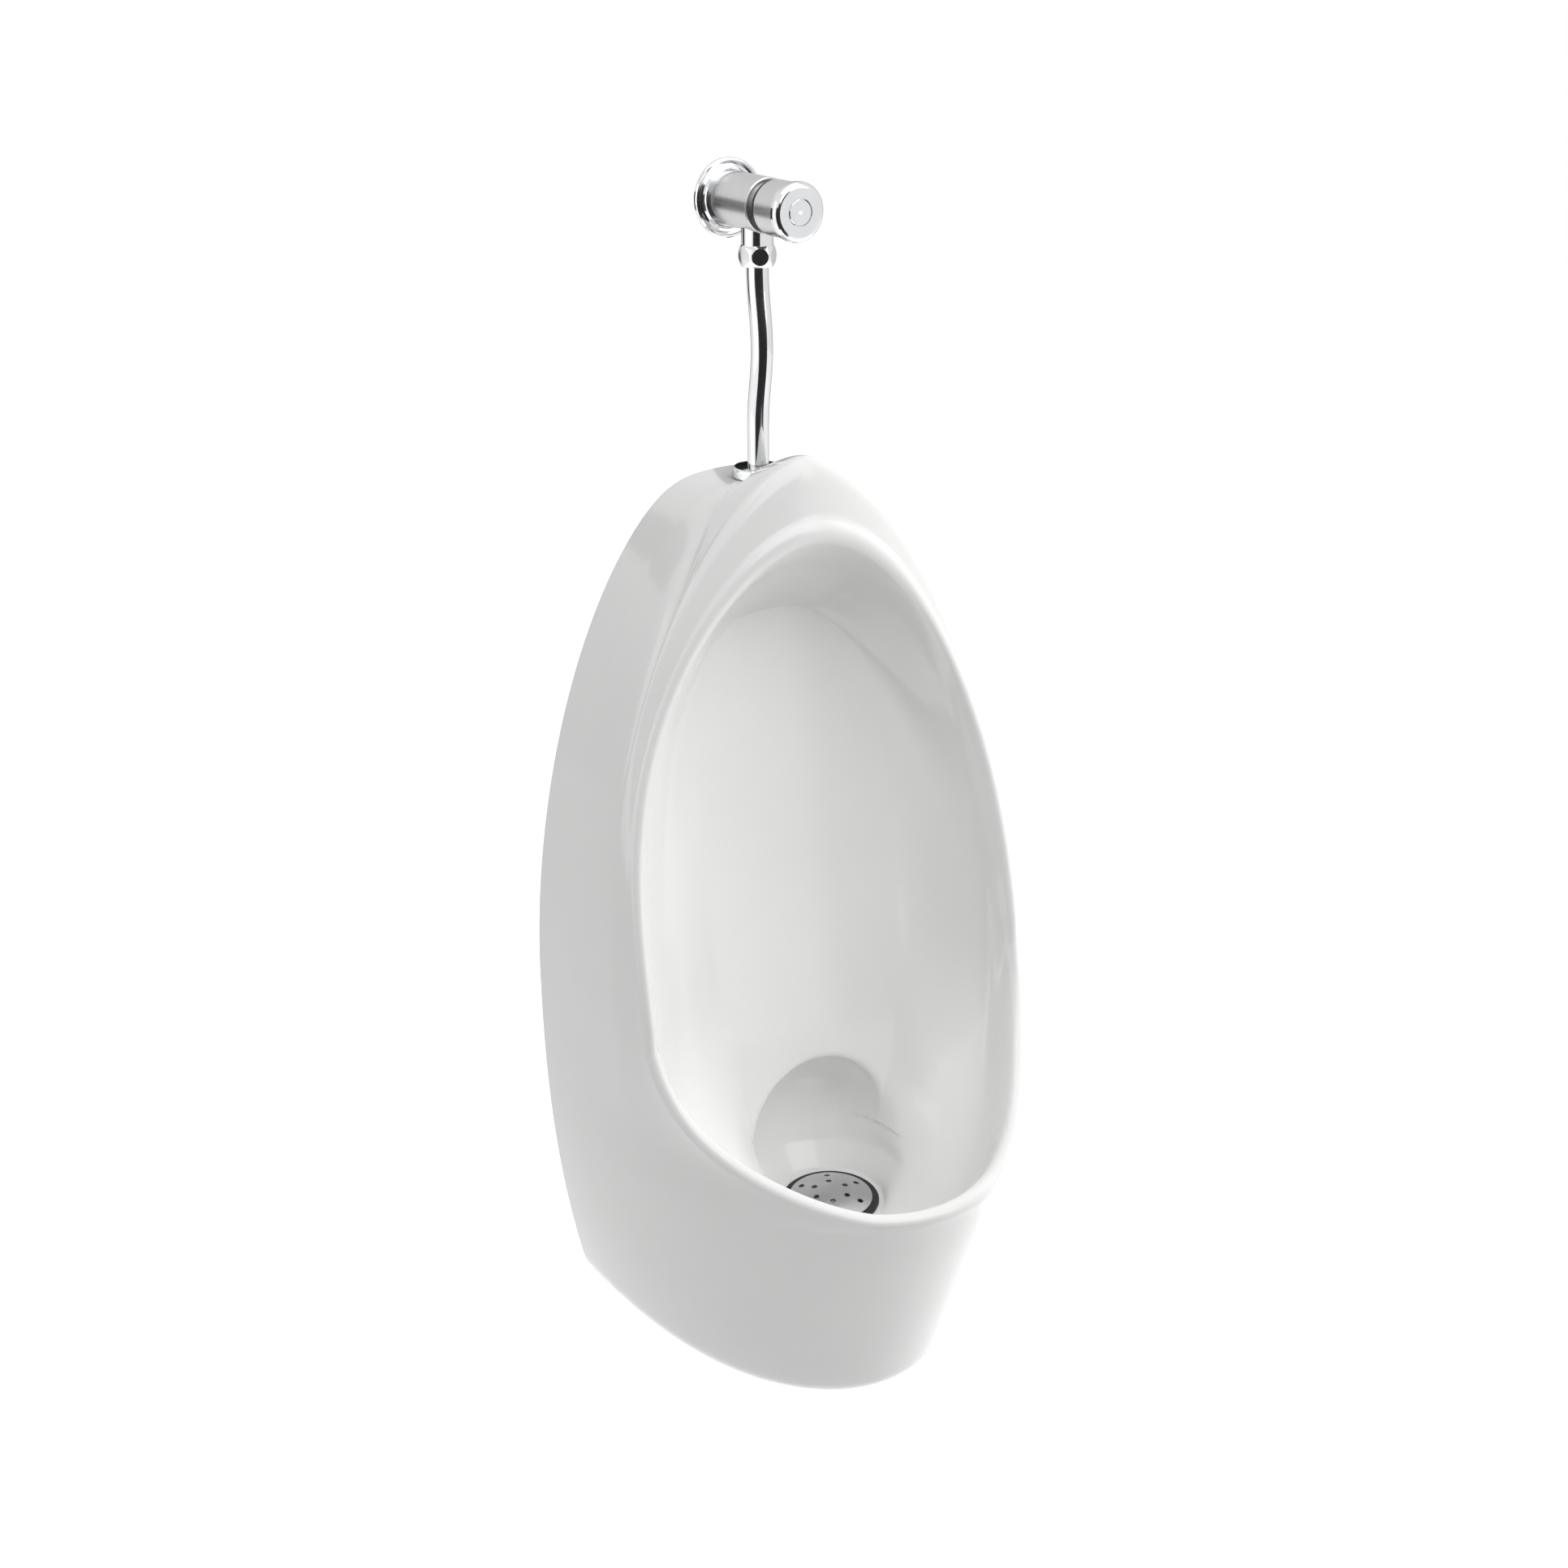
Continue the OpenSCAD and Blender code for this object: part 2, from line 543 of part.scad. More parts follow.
module valve_wall_flange() {
    color([0.86, 0.87, 0.89]) on_valve() turned([
        [shank_r, 0], [flange_r - 0.4, 0], [flange_r, 0.6], [flange_r, 2.4], [flange_r - 0.6, 3.2],
        [flange_r - 1.6, 3.3], [flange_r - 2.6, 2.6], [22, 2.1], [20.4, 2.6], [19.4, 3.6], [18.9, 4.4],
        [18.6, 5.5], [17.4, 5.5], [shank_r, 5.5]], 96);
}
module inlet_nipple() {
    color([0.75, 0.65, 0.35]) on_valve() turned([
        [7, -inlet_long - 1], [inlet_r - 1, -inlet_long - 1], [inlet_r, -inlet_long], [inlet_r, 0],
        [shank_r, 0], [shank_r, 9], [7, 9]]);
}
module valve_body() {
    color([0.7, 0.71, 0.72]) on_valve() difference() {
        turned([
            [0, 5.5], [17.2, 5.5], [17.2, 12], [body_r - 0.7, 12], [body_r, 12.7], [body_r, body_front - 0.8],
            [body_r - 0.8, body_front], [15, body_front], [15, 68], [0, 68]], 96);
        translate([0, 0, -1]) cylinder(r = shank_r, h = 10, $fn = 72);
        translate([0, 0, 8.9]) cylinder(r = chamber_r, h = 60, $fn = 72);
        translate([0, 0, pipe_d]) rotate([90, 0, 0]) cylinder(r = 8, h = 30, $fn = 48);
    }
}
module body_seal_ring() {
    color([0.6, 0.61, 0.62]) on_valve()
        turned([[15, 58.2], [17, 58.2], [17.4, 58.6], [17.4, 59.9], [17, 60.3], [15, 60.3]], 96);
}
module valve_sleeve() {
    color([0.7, 0.71, 0.72]) on_valve() turned([
        [15, sleeve_back], [sleeve_r - 0.6, sleeve_back], [sleeve_r, sleeve_back + 0.6],
        [sleeve_r, sleeve_front - 0.9], [sleeve_r - 0.9, sleeve_front], [13.5, sleeve_front],
        [13.5, 68], [15, 68]], 96);
}
module push_cap() {
    edge = [for (a = [0:15:90]) [cap_r - 3.6 + 3.6 * cos(a), cap_face - 3.6 + 3.6 * sin(a)]];
    color([0.9, 0.91, 0.93]) on_valve() turned(concat(
        [[stem_r, 78], [7, 78], [7, cap_face - 2], [sleeve_r + 0.35, cap_face - 2], [sleeve_r + 0.35, 84.3],
            [cap_r - 0.3, 84], [cap_r, 84.3]],
        edge,
        [[8.9, cap_face], [8.9, cap_face - 1.2], [stem_r, cap_face - 1.2]]), 96);
}
module cap_insert() {
    color([0.93, 0.94, 0.95]) on_valve()
        turned([
            [0, cap_face - 1.2], [8.4, cap_face - 1.2], [8.4, cap_face - 0.2], [8, cap_face + 0.2],
            [0, cap_face + 0.4]
        ]);
}
module push_stem() {
    color([0.72, 0.73, 0.75]) on_valve() translate([0, 0, 18])
        cylinder(r = stem_r, h = cap_face - 19.2, $fn = 48);
}
module piston() {
    color([0.85, 0.85, 0.8]) on_valve() ring(11.8, stem_r, 18, 21.5);
}
module piston_seal() {
    color([0.1, 0.1, 0.1]) on_valve() ring(11, stem_r, 21.5, 23.7);
}
module valve_seat() {
    color([0.8, 0.7, 0.4]) on_valve()
        turned([[8, 24.5], [9, 24], [9.6, 24.5], [chamber_r, 24.5], [chamber_r, 28], [8, 28]]);
}
module stem_guide() {
    color([0.85, 0.85, 0.8]) on_valve() turned([
        [stem_r + 0.3, 47.5], [chamber_r, 47.5], [chamber_r, 60], [7, 60], [7, 55], [stem_r + 0.3, 55]]);
}
module stem_seal() {
    color([0.1, 0.1, 0.1]) on_valve() ring(7, stem_r + 0.3, 55, 57.5);
}
module return_spring() {
    coils = 2.75;
    per = 16;
    wire = 0.6;
    mean = 8.6;
    n = round(coils * per);
    pts = [for (k = [0:n]) for (j = [0:5])
        let(a = 360 * k / per, b = 60 * j, r = mean + wire * cos(b))
        [r * cos(a), r * sin(a), 9.7 + 7.6 * k / n + wire * sin(b)]];
    sides = [for (k = [0:n - 1]) for (j = [0:5])
        let(a = 6 * k + j, b = 6 * k + (j + 1) % 6) [a, b, b + 6, a + 6]];
    caps = [[5, 4, 3, 2, 1, 0], [for (j = [0:5]) 6 * n + j]];
    turned_out = [for (f = concat(sides, caps)) [for (i = [len(f) - 1:-1:0]) f[i]]];
    color([0.8, 0.81, 0.83]) on_valve() polyhedron(points = pts, faces = turned_out);
}
module outlet_spigot() {
    color([0.86, 0.87, 0.89]) on_pipe() difference() {
        union() {
            difference() {
                intersection() {
                    translate([0, 0, -26]) cylinder(r = 10.8, h = 13, $fn = 72);
                    translate([-15, -10, -26]) cube([30, 20, 13]);
                }
                translate([0, 40, 0]) rotate([90, 0, 0]) cylinder(r = body_r, h = 80, $fn = 96);
            }
            translate([0, 0, -20]) cylinder(r = 8, h = 7.2, $fn = 48);
            translate([0, 0, -33]) cylinder(r = 8.4, h = 8, $fn = 48);
        }
        translate([0, 0, -34]) cylinder(r = 6, h = 22, $fn = 48);
    }
}
module coupling_nut() {
    r = nut_af / 2 / cos(30);
    color([0.86, 0.87, 0.89]) on_pipe() difference() {
        intersection() {
            translate([0, 0, -40]) rotate([0, 0, 3]) cylinder(r = r, h = 14, $fn = 6);
            turned([[0, -40], [9.8, -40], [11.6, -39.2], [12.6, -37.6], [12.9, -36], [12.9, -30],
                [12.6, -28.4], [11.6, -26.8], [9.8, -26], [0, -26]]);
        }
        translate([0, 0, -36.6]) cylinder(r = 8.4, h = 12, $fn = 48);
        translate([0, 0, -41]) cylinder(r = pipe_r, h = 6, $fn = 48);
    }
}
module coupling_washer() {
    color([0.1, 0.1, 0.1]) on_pipe() ring(8.4, 6, -35, -33, 48);
}
// A tube along a line that leans out from the wall and back, with a collar at its top end
module flush_pipe() {
    top = -42;
    low = -205;
    sides = 20;
    bends = 12;
    bore = pipe_r - 0.8;
    // Each station: height and outside radius
    stations = concat(
        [[-35, 8.4], [-36.6, 8.4], [-36.6, pipe_r]],
        [for (k = [0:bends]) [top - 2 * bulge_half * k / bends, pipe_r]],
        [[low, pipe_r]]
    );
    n = len(stations);
    rings = concat(stations, [for (k = [n - 1:-1:0]) [stations[k][0], bore]]);
    points = [for (r = rings) for (j = [0:sides - 1])
        let(u = clamp((top - r[0]) / bulge_half, 0, 2))
        let(out = pipe_bulge * (1 - cos(180 * u)) / 2, a = 360 * j / sides)
        let(tilt = atan(pipe_bulge * PI / 2 / bulge_half * sin(180 * u)))
        [r[1] * cos(a), -out + r[1] * sin(a) * cos(tilt), r[0] - r[1] * sin(a) * sin(tilt)]];
    faces = [for (k = [0:2 * n - 1]) for (j = [0:sides - 1])
        let(a = k * sides + j, b = k * sides + (j + 1) % sides)
        let(c = (a + sides) % (2 * n * sides), d = (b + sides) % (2 * n * sides)) [a, b, d, c]];
    color([0.88, 0.89, 0.91]) on_pipe() polyhedron(points = points, faces = faces);
}
module inlet_rosette() {
    color([0.86, 0.87, 0.89]) translate([0, -pipe_d, seat_z]) turned([
        [pipe_r, 0], [18, 0], [18, 4.4], [17.6, 5.6], [16.4, 6.4], [13, 7], [9.4, 7.4], [pipe_r, 7.4]]);
}
module inlet_spud() {
    color([0.1, 0.1, 0.1]) translate([0, -pipe_d, seat_z]) turned([
        [pipe_r, -19], [11.3, -19], [11.7, -17], [11.7, 0], [pipe_r, 0]]);
}

china_body();
waste_strainer();
strainer_gasket();
waste_body();
waste_washer();
waste_backnut();
wall_hangers();
hanger_washers();
hanger_screws();
valve_wall_flange();
inlet_nipple();
valve_body();
body_seal_ring();
valve_sleeve();
push_cap();
cap_insert();
push_stem();
piston();
piston_seal();
valve_seat();
stem_guide();
stem_seal();
return_spring();
outlet_spigot();
coupling_nut();
coupling_washer();
flush_pipe();
inlet_rosette();
inlet_spud();
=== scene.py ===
import math

import bmesh
import bpy
import numpy as np
from mathutils import Matrix, Vector


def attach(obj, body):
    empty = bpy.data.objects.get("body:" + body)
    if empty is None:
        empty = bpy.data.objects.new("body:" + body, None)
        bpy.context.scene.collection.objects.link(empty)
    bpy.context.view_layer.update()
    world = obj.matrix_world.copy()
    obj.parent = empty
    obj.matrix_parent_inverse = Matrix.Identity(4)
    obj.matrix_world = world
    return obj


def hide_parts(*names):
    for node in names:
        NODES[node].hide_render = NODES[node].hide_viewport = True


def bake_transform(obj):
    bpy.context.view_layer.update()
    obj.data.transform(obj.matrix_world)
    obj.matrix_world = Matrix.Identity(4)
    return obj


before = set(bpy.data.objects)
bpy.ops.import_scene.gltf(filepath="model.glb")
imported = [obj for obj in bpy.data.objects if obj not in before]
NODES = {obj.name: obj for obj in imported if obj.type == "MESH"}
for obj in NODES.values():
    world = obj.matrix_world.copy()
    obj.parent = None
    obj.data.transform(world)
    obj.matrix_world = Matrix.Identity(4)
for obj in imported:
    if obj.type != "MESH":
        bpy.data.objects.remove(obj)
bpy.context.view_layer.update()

MM = 0.001

# ---------------------------------------------------------------- sizes
# Millimetres from the midpoint between the wall fixings. A depth is a distance from the wall.
# A size that the part's source has too has the same name there.

# The china's outside
MID_Z = -205  # the body's widest level
HALF_W = 165.9  # half of the body's width
BOTTOM_Z = -506.6  # the open bottom edge
TAPER = 0.222  # share of the width lost towards the bottom
TAPER_POW = 2.38  # how late that taper sets in
FOOT_R = 22  # the rolled bottom edge
CORNER_R = 22  # how much wider that roll grows at the two back corners
LEDGE_Z = 148.6  # the flat top ledge
EGG_TOP = 159.8  # peak of the wall outline before the ledge trims it
LEDGE_SOFT = 8  # softness of the ledge's corner
HOOD_Z = 170.8  # top of the hood
LIP_TOP = 125.5  # height of the skin at the lip, top centre
LIP_TOP_D = 100.9  # depth of the lip, top centre
LIP_RISE = 5.8  # forward swell of the lip at the top centre
LIP_MID = -206.8  # height of the lip's widest point
CHIN_Z = -324  # height of the lip at the front, and of the chin below it
CHIN_D = 280.4  # depth of the chin
CHIN_DROP = 60.6  # how far the front falls back by the bottom edge
DROP_POW = 0.88  # power of that fall
SEAM_D = 663.5  # depth of the full section at the lip's widest level
SEAM_POW = 2.53  # power of the growth up to it
SEC_N = 2.137  # section exponent above the chin
SEC_BOT_N = 2.007  # section exponent at the bottom edge
LIP_PHI = 11.14  # section angle of the lip at its widest level
LIP_POW = 2.236  # power of the lip's sweep from side to front
LIP_START = 0.58  # how fast the lip starts to sweep round below its widest level
LIP_GAIN = 1.165  # how much faster it sweeps after that
LIP_D_POW = 2.5  # power of the lip's depth from top to side
HOOD_N = 1.74  # outline exponent of the hood
MERGE = 62  # angle over which the valley behind the hood fades out
VALLEY_F = 0.96  # depth of that valley on the flank, as a share of the lip's depth

# The lip and the bowl
LIP_LINE = 7.5  # distance of the lip's crest from the rim's guide curve
LIP_R = 6  # radius of the bead along the lip
LIP_SLIM = 1.2  # how much slimmer the bead is at the sides
LIP_SWELL = 6  # how much fuller the bead is at the top centre
WALL = 11  # shell thickness
PANEL_W = 78  # half width of the back panel inside the bowl
PANEL_D = 50  # depth of the back panel at its top edge
PANEL_LEAN = 0.2  # forward lean of the panel, per millimetre down
PANEL_LOW = 118  # greatest depth of the panel's middle
DISH = 8  # how far the panel's edges stand forward of its middle
SHOULDER = 11  # how much nearer the front the bowl's wall is on its flanks than under the hood
WALL_SOFT = 1.3  # power that softens the bowl's wall at its widest level
ARCH_Z = 54.5  # the panel's arched top edge
DRAIN_D = 135.6  # depth of the waste's axis
FLOOR_Z = -387  # the bowl's floor round the waste
SCOOP_R = 57  # radius of the scooped recess behind the waste
SCOOP_SQUAT = 3  # how much smaller that radius is upwards
SCOOP_D = 122  # depth of the recess's centre
SCOOP_Z = -332  # height of the recess's centre
RING_R = 36.3  # outside radius of the strainer's dark ring

# Stations round one half of the body: 0 is the top centre, 90 the side, 180 the bottom centre
T_CORNER = 132  # station of the wall's bottom corner
SIDE_N_WALL = 1.9  # outline exponent of the upper half at its side, on the wall
SIDE_N_LIP = 2.62  # the same on the lip
# For each ring of the hood: place between wall and lip, depth share at the top, peak height,
# ledge height, outline exponent, and how far it follows the valley forward on the flank
SL = np.array([0, 0.3, 0.55, 0.7, 0.78, 0.85, 0.93, 1])
TOP_F = [0, 0.28, 0.41, 0.48, 0.565, 0.83, 0.94, 1]
TOP_Z = [EGG_TOP, EGG_TOP, EGG_TOP, 158, 163, HOOD_Z, 165, LIP_TOP]
TRIM_Z = [LEDGE_Z, LEDGE_Z + 0.5, LEDGE_Z + 1.5, 151.5, None, None, None, None]
TOP_N = [1.9, 1.9, 1.9, 1.9, HOOD_N, HOOD_N, HOOD_N, 1.92]
PULL = [0, 0, 0, 0.8, 0.85, 0.8, 1, 0]
PULL_IN = 10  # station where that pull sets in, and how far round it grows
PULL_GROW = 42
PULL_OUT = 55  # station where it starts to fade, and how far round it lasts
PULL_FADE = 35
# Rings of the bowl: half width; top, middle and bottom height; depth at top, side and bottom, all
# nought where the ring lies on the panel; outline exponent of the upper and of the lower half
BOWL = [
    [140, 88, -200, -364, 81, 130, 246, 2.3, 2.2],
    [112, 65, -140, -386.5, 59, 108, 205, 2.3, 2.3],
    [PANEL_W, ARCH_Z + 0.5, -70, -382, 0, 0, 0, 2.6, 2.6],
    [PANEL_W - 13, ARCH_Z - 6, -80, -345, 0, 0, 0, 2.5, 2.4],
    [PANEL_W - 42, -10, -110, -285, 0, 0, 0, 2.2, 2.2],
]
POLE_Z = -145  # the point on the panel on which the bowl's rings close
PANEL_KNOT = 3  # the ring from which the bowl lies on the panel
POLE_KNOT = len(BOWL) + 1

# Bosses, holes and hanger pockets of the china
BOSS_R = 44  # the thickening under the waste
BOSS_T = 12
SINK_R = 30.2  # the sunk seat of the waste's flange
SINK_DEEP = 8.2
BORE_R = 21.3  # the hole for the waste's tail
SEAT_R = 18.6  # the flat for the pipe's rosette on the ledge
SEAT_DEEP = 0.4
INLET_HOLE_R = 12  # the hole for the flush pipe
FIX_W = 150  # distance between the two wall fixings
LUG_W = 23  # half width of the thickening round each hanger
LUG_SIDE = [(0, 32), (-50, 32), (-50, 31), (0, -42), (-62, -42), (-62, -41)]  # its y and z
POCKET_W = 17  # half width of the pockets for each hanger
POCKET_R = 3  # their corners

# The pipe, the nut and the spring, whose heights are counted from the valve's axis
VALVE_Z = 330
PIPE_D = 38
PIPE_R = 7.5
PIPE_BORE = 6.7
COLLAR_R = 8.4  # the pipe's collar inside the nut
PIPE_BULGE = 5.2  # forward bulge of the pipe halfway down
BULGE_HALF = 52.0  # half length of that bulge
BULGE_TOP = -42.0
PIPE_END = -205.0
NUT_AF = 23  # distance across the nut's flats
NUT_TURN = 37.8  # so that a flat faces the front left
NUT_LOW = -40
NUT_TOP = -26
NUT_CHAMFER = 163.6  # square of the round chamfer's radius
SPRING_COILS = 2.75
SPRING_WIRE = 0.6  # radius of the wire
SPRING_R = 8.6  # radius of the coils to the middle of the wire
SPRING_D = 9.7  # depth of the spring's end nearest the wall
SPRING_LONG = 7.6  # length between the middles of its end coils


# ---------------------------------------------------------------- small tools
def link(obj):
    bpy.context.scene.collection.objects.link(obj)
    return obj


def mesh_object(name, points, faces):
    """A mesh object from points in millimetres."""
    mesh = bpy.data.meshes.new(name)
    mesh.from_pydata([tuple(p) for p in np.asarray(points) * MM], [], faces)
    mesh.validate()
    mesh.update()
    return link(bpy.data.objects.new(name, mesh))


def face_outwards(obj, weld=False):
    """Turns every face outwards, after welding the points that a lathe leaves on its axis."""
    bm = bmesh.new()
    bm.from_mesh(obj.data)
    if weld:
        bmesh.ops.remove_doubles(bm, verts=bm.verts, dist=1e-6)
        bmesh.ops.dissolve_degenerate(bm, edges=bm.edges, dist=1e-7)
    bmesh.ops.recalc_face_normals(bm, faces=bm.faces)
    bm.to_mesh(obj.data)
    bm.free()


def band_faces(rows, sides, loop):
    """Faces between rows of points round a tube. With loop, the last row joins the first."""
    faces = []
    for i in range(rows if loop else rows - 1):
        j = (i + 1) % rows
        for k in range(sides):
            after = (k + 1) % sides
            faces.append((i * sides + k, i * sides + after, j * sides + after, j * sides + k))
    return faces


def smooth(obj, angle):
    obj.data.shade_smooth()
    obj.data.set_sharp_from_angle(angle=math.radians(angle))


def dress(obj, look):
    obj.data.materials.clear()
    obj.data.materials.append(look)


def apply_modifiers(obj):
    bpy.context.view_layer.update()
    deps = bpy.context.evaluated_depsgraph_get()
    done = bpy.data.meshes.new_from_object(obj.evaluated_get(deps))
    obj.modifiers.clear()
    old = obj.data
    obj.data = done
    done.name = obj.name
    bpy.data.meshes.remove(old)


def bevel(obj, width, segments, angle=None):
    """A bevel in metres, on every edge or only on those sharper than an angle in degrees."""
    edge = obj.modifiers.new("edge", "BEVEL")
    edge.width = width
    edge.segments = segments
    if angle is not None:
        edge.limit_method = "ANGLE"
        edge.angle_limit = math.radians(angle)


def boolean(obj, tool, how):
    mod = obj.modifiers.new(how.lower(), "BOOLEAN")
    mod.operation = how
    mod.object = tool
    mod.solver = "MANIFOLD"
    apply_modifiers(obj)
    bpy.data.objects.remove(tool)


def at(x, y, z):
    return Matrix.Translation(Vector((x, y, z)) * MM)


def lathe(name, profile, place):
    """A turned solid from [radius, height] points in millimetres, about its own +Z."""
    sides = 96
    profile = np.array(profile, float)
    a = np.arange(sides) * 2 * np.pi / sides
    rows = np.stack([
        profile[:, None, 0] * np.cos(a), profile[:, None, 0] * np.sin(a),
        profile[:, None, 1] + 0 * a], -1)
    obj = mesh_object(name, rows.reshape(-1, 3), band_faces(len(profile), sides, True))
    face_outwards(obj, weld=True)
    obj.data.transform(place)
    return obj


def drill(obj, name, radius, lowest, highest, place):
    """Takes a round hole out of an object, between two heights above a place."""
    plug = lathe(name, [[0, lowest], [radius, lowest], [radius, highest], [0, highest]], place)
    boolean(obj, plug, "DIFFERENCE")


def block(name, corners):
    """A convex solid round points in millimetres."""
    bm = bmesh.new()
    for c in corners:
        bm.verts.new(Vector(c) * MM)
    bmesh.ops.convex_hull(bm, input=bm.verts)
    bmesh.ops.recalc_face_normals(bm, faces=bm.faces)
    mesh = bpy.data.meshes.new(name)
    bm.to_mesh(mesh)
    bm.free()
    return link(bpy.data.objects.new(name, mesh))


# ---------------------------------------------------------------- small sums
FLIP = np.array([-1.0, 1.0, 1.0])


def lerp(a, b, u):
    return a + (b - a) * u


def ease(u):
    c = np.clip(u, 0, 1)
    return c * c * (3 - 2 * c)


def fade(v, start, width):
    """0 up to start, 1 from start + width, and soft between."""
    return ease((v - start) / width)


def pw(v, e):
    """A power that is 0 at and below 0."""
    return np.where(np.asarray(v) <= 1e-9, 0.0, np.maximum(v, 1e-9) ** e)


def unit(v):
    return v / np.maximum(np.linalg.norm(v, axis=-1, keepdims=True), 1e-9)


def sin(t):
    return np.sin(np.radians(t))


def cos(t):
    return np.cos(np.radians(t))


def dot(a, b):
    return (a * b).sum(-1, keepdims=True)


def pack(x, y, z):
    return np.stack(np.broadcast_arrays(x, y, z), -1).astype(float)


def hermite(a, b, ta, tb, u):
    return ((2 * u ** 3 - 3 * u * u + 1) * a + (u ** 3 - 2 * u * u + u) * ta
            + (3 * u * u - 2 * u ** 3) * b + (u ** 3 - u * u) * tb)


def soft_cut(v, cut):
    return cut - LEDGE_SOFT * np.log(1 + np.exp((cut - v) / LEDGE_SOFT))


def soft_max(a, b, k):
    h = np.maximum(k - np.abs(a - b), 0) / k
    return np.maximum(a, b) + h * h * k / 4


def both_sides(half):
    """Carries a function of one half round to the other, so that t may pass 0 and 180."""
    def whole(t, *more):
        t = np.asarray(t, float)
        over = (t < 0) | (t > 180)
        inner = np.where(t < 0, -t, np.where(t > 180, 360 - t, t))
        return half(inner, *more) * np.where(over[..., None], FLIP, 1.0)
    return whole


# ---------------------------------------------------------------- the china's outside
def width_at(z):
    return HALF_W * (1 - TAPER * pw(np.clip((MID_Z - z) / (MID_Z - BOTTOM_Z), 0, 1), TAPER_POW))


def roll_at(z, phi):
    """How far the rolled bottom edge draws the section in."""
    r = FOOT_R + CORNER_R * cos(phi) ** 6
    h = np.clip(r - (z - BOTTOM_Z), 0, r)
    return r - np.sqrt(r * r - h * h)


def drop_at(z):
    return np.clip((CHIN_Z - z) / (CHIN_Z - BOTTOM_Z), 0, 1)


def depth_at(z):
    u = np.clip((z - CHIN_Z) / (LIP_MID - CHIN_Z), 0, 1.3)
    return CHIN_D - CHIN_DROP * pw(drop_at(z), DROP_POW) + (SEAM_D - CHIN_D) * pw(u, SEAM_POW)


def section(z, phi):
    """A point of the level section at height z: phi is 0 on the wall and 90 at the front."""
    e = 2 / lerp(SEC_N, SEC_BOT_N, drop_at(z))
    r = roll_at(z, phi)
    return pack((width_at(z) - r) * pw(cos(phi), e), -(depth_at(z) - r) * pw(sin(phi), e), z)


def low_skin(t, s):
    """The lower half of the skin, from the wall and bottom edges at s = 0 to the lip at s = 1."""
    wall = t < T_CORNER
    za = np.where(wall, lerp(MID_Z, BOTTOM_Z, (t - 90) / (T_CORNER - 90)), BOTTOM_Z)
    pa = np.where(wall, 0, 90 * (t - T_CORNER) / (180 - T_CORNER))
    k = (t - 90) / 90
    sweep = LIP_START * k + LIP_GAIN * k * k + (1 - LIP_START - LIP_GAIN) * k ** 3
    pe = lerp(LIP_PHI, 90, sweep)
    ze = LIP_MID + (CHIN_Z - LIP_MID) * (1 - pw(1 - k, LIP_POW))
    return section(lerp(za, ze, s), lerp(pa, pe, s))


SIDE_D = -section(np.array(LIP_MID), np.array(LIP_PHI))[1]


def lip_depth(t):
    c = cos(t)
    return LIP_TOP_D + (SIDE_D - LIP_TOP_D) * pw(1 - c, LIP_D_POW) + LIP_RISE * pw(c, 8)


def hood_ring(i, t):
    s = SL[i]
    z0 = lerp(MID_Z, LIP_MID, s)
    p0 = section(np.array(z0), np.array(LIP_PHI * s))
    e = 2 / lerp(TOP_N[i], lerp(SIDE_N_WALL, SIDE_N_LIP, s), t * t / 90 ** 2)
    f = lerp(TOP_F[i], -p0[1] / SIDE_D, ease(t / MERGE))
    f = lerp(f, VALLEY_F, PULL[i] * fade(t, PULL_IN, PULL_GROW) * (1 - fade(t, PULL_OUT, PULL_FADE)))
    z = z0 + (TOP_Z[i] - z0) * pw(cos(t), e)
    if TRIM_Z[i] is not None:
        z = soft_cut(z, TRIM_Z[i])
    return pack(p0[0] * pw(sin(t), e), -f * lip_depth(t), z)


def hood_slope(i, t):
    if i == 0:
        return (hood_ring(1, t) - hood_ring(0, t)) / SL[1]
    if i == len(SL) - 1:
        return (hood_ring(i, t) - hood_ring(i - 1, t)) / (SL[i] - SL[i - 1])
    a, b, c = hood_ring(i - 1, t), hood_ring(i, t), hood_ring(i + 1, t)
    h0, h1 = SL[i] - SL[i - 1], SL[i + 1] - SL[i]
    return ((b - a) / h0 * h1 + (c - b) / h1 * h0) / (h0 + h1)


def high_skin(t, s):
    """The upper half of the skin: eight egg-shaped rings, joined by a smooth curve."""
    i = int(min(max(np.searchsorted(SL, s, side="right") - 1, 0), len(SL) - 2))
    h = SL[i + 1] - SL[i]
    return hermite(hood_ring(i, t), hood_ring(i + 1, t), h * hood_slope(i, t), h * hood_slope(i + 1, t),
                   (s - SL[i]) / h)


@both_sides
def plain_skin(t, s):
    return np.where((t < 90)[..., None], high_skin(np.minimum(t, 90), s), low_skin(np.maximum(t, 90), s))


# ---------------------------------------------------------------- the bead along the lip
LIP_TILT = 0.9  # how steeply the lip leans inwards at the top centre
LIP_TILT_POW = 1.5
LEAD_IN = 0.75  # share of the skin from which it is led to the bead
BEAD_SIGHT = 150  # angle on the bead from which the bowl's first ring is sighted


def lip_along(t):
    """The direction in which the skin runs off the lip."""
    lo = unit(low_skin(np.maximum(t, 90), 1) - low_skin(np.maximum(t, 90), 0.97))
    c = np.maximum(cos(t), 0)
    hi = unit(pack(-sin(t) * LIP_TILT * pw(c, LIP_TILT_POW), -1, -c * LIP_TILT * pw(c, LIP_TILT_POW)))
    return unit(lerp(hi, lo, fade(t, 50, 40)[..., None]))


def lip_in(t):
    """The direction across the lip, towards the bowl."""
    b = plain_skin(t + 1, 1) - plain_skin(t - 1, 1)
    return unit(np.cross(b, lip_along(t)))


def lip_radius(t):
    return (LIP_R - LIP_SLIM * sin(t) ** 4 + LIP_SWELL * (1 - ease(t / 55)))[..., None]


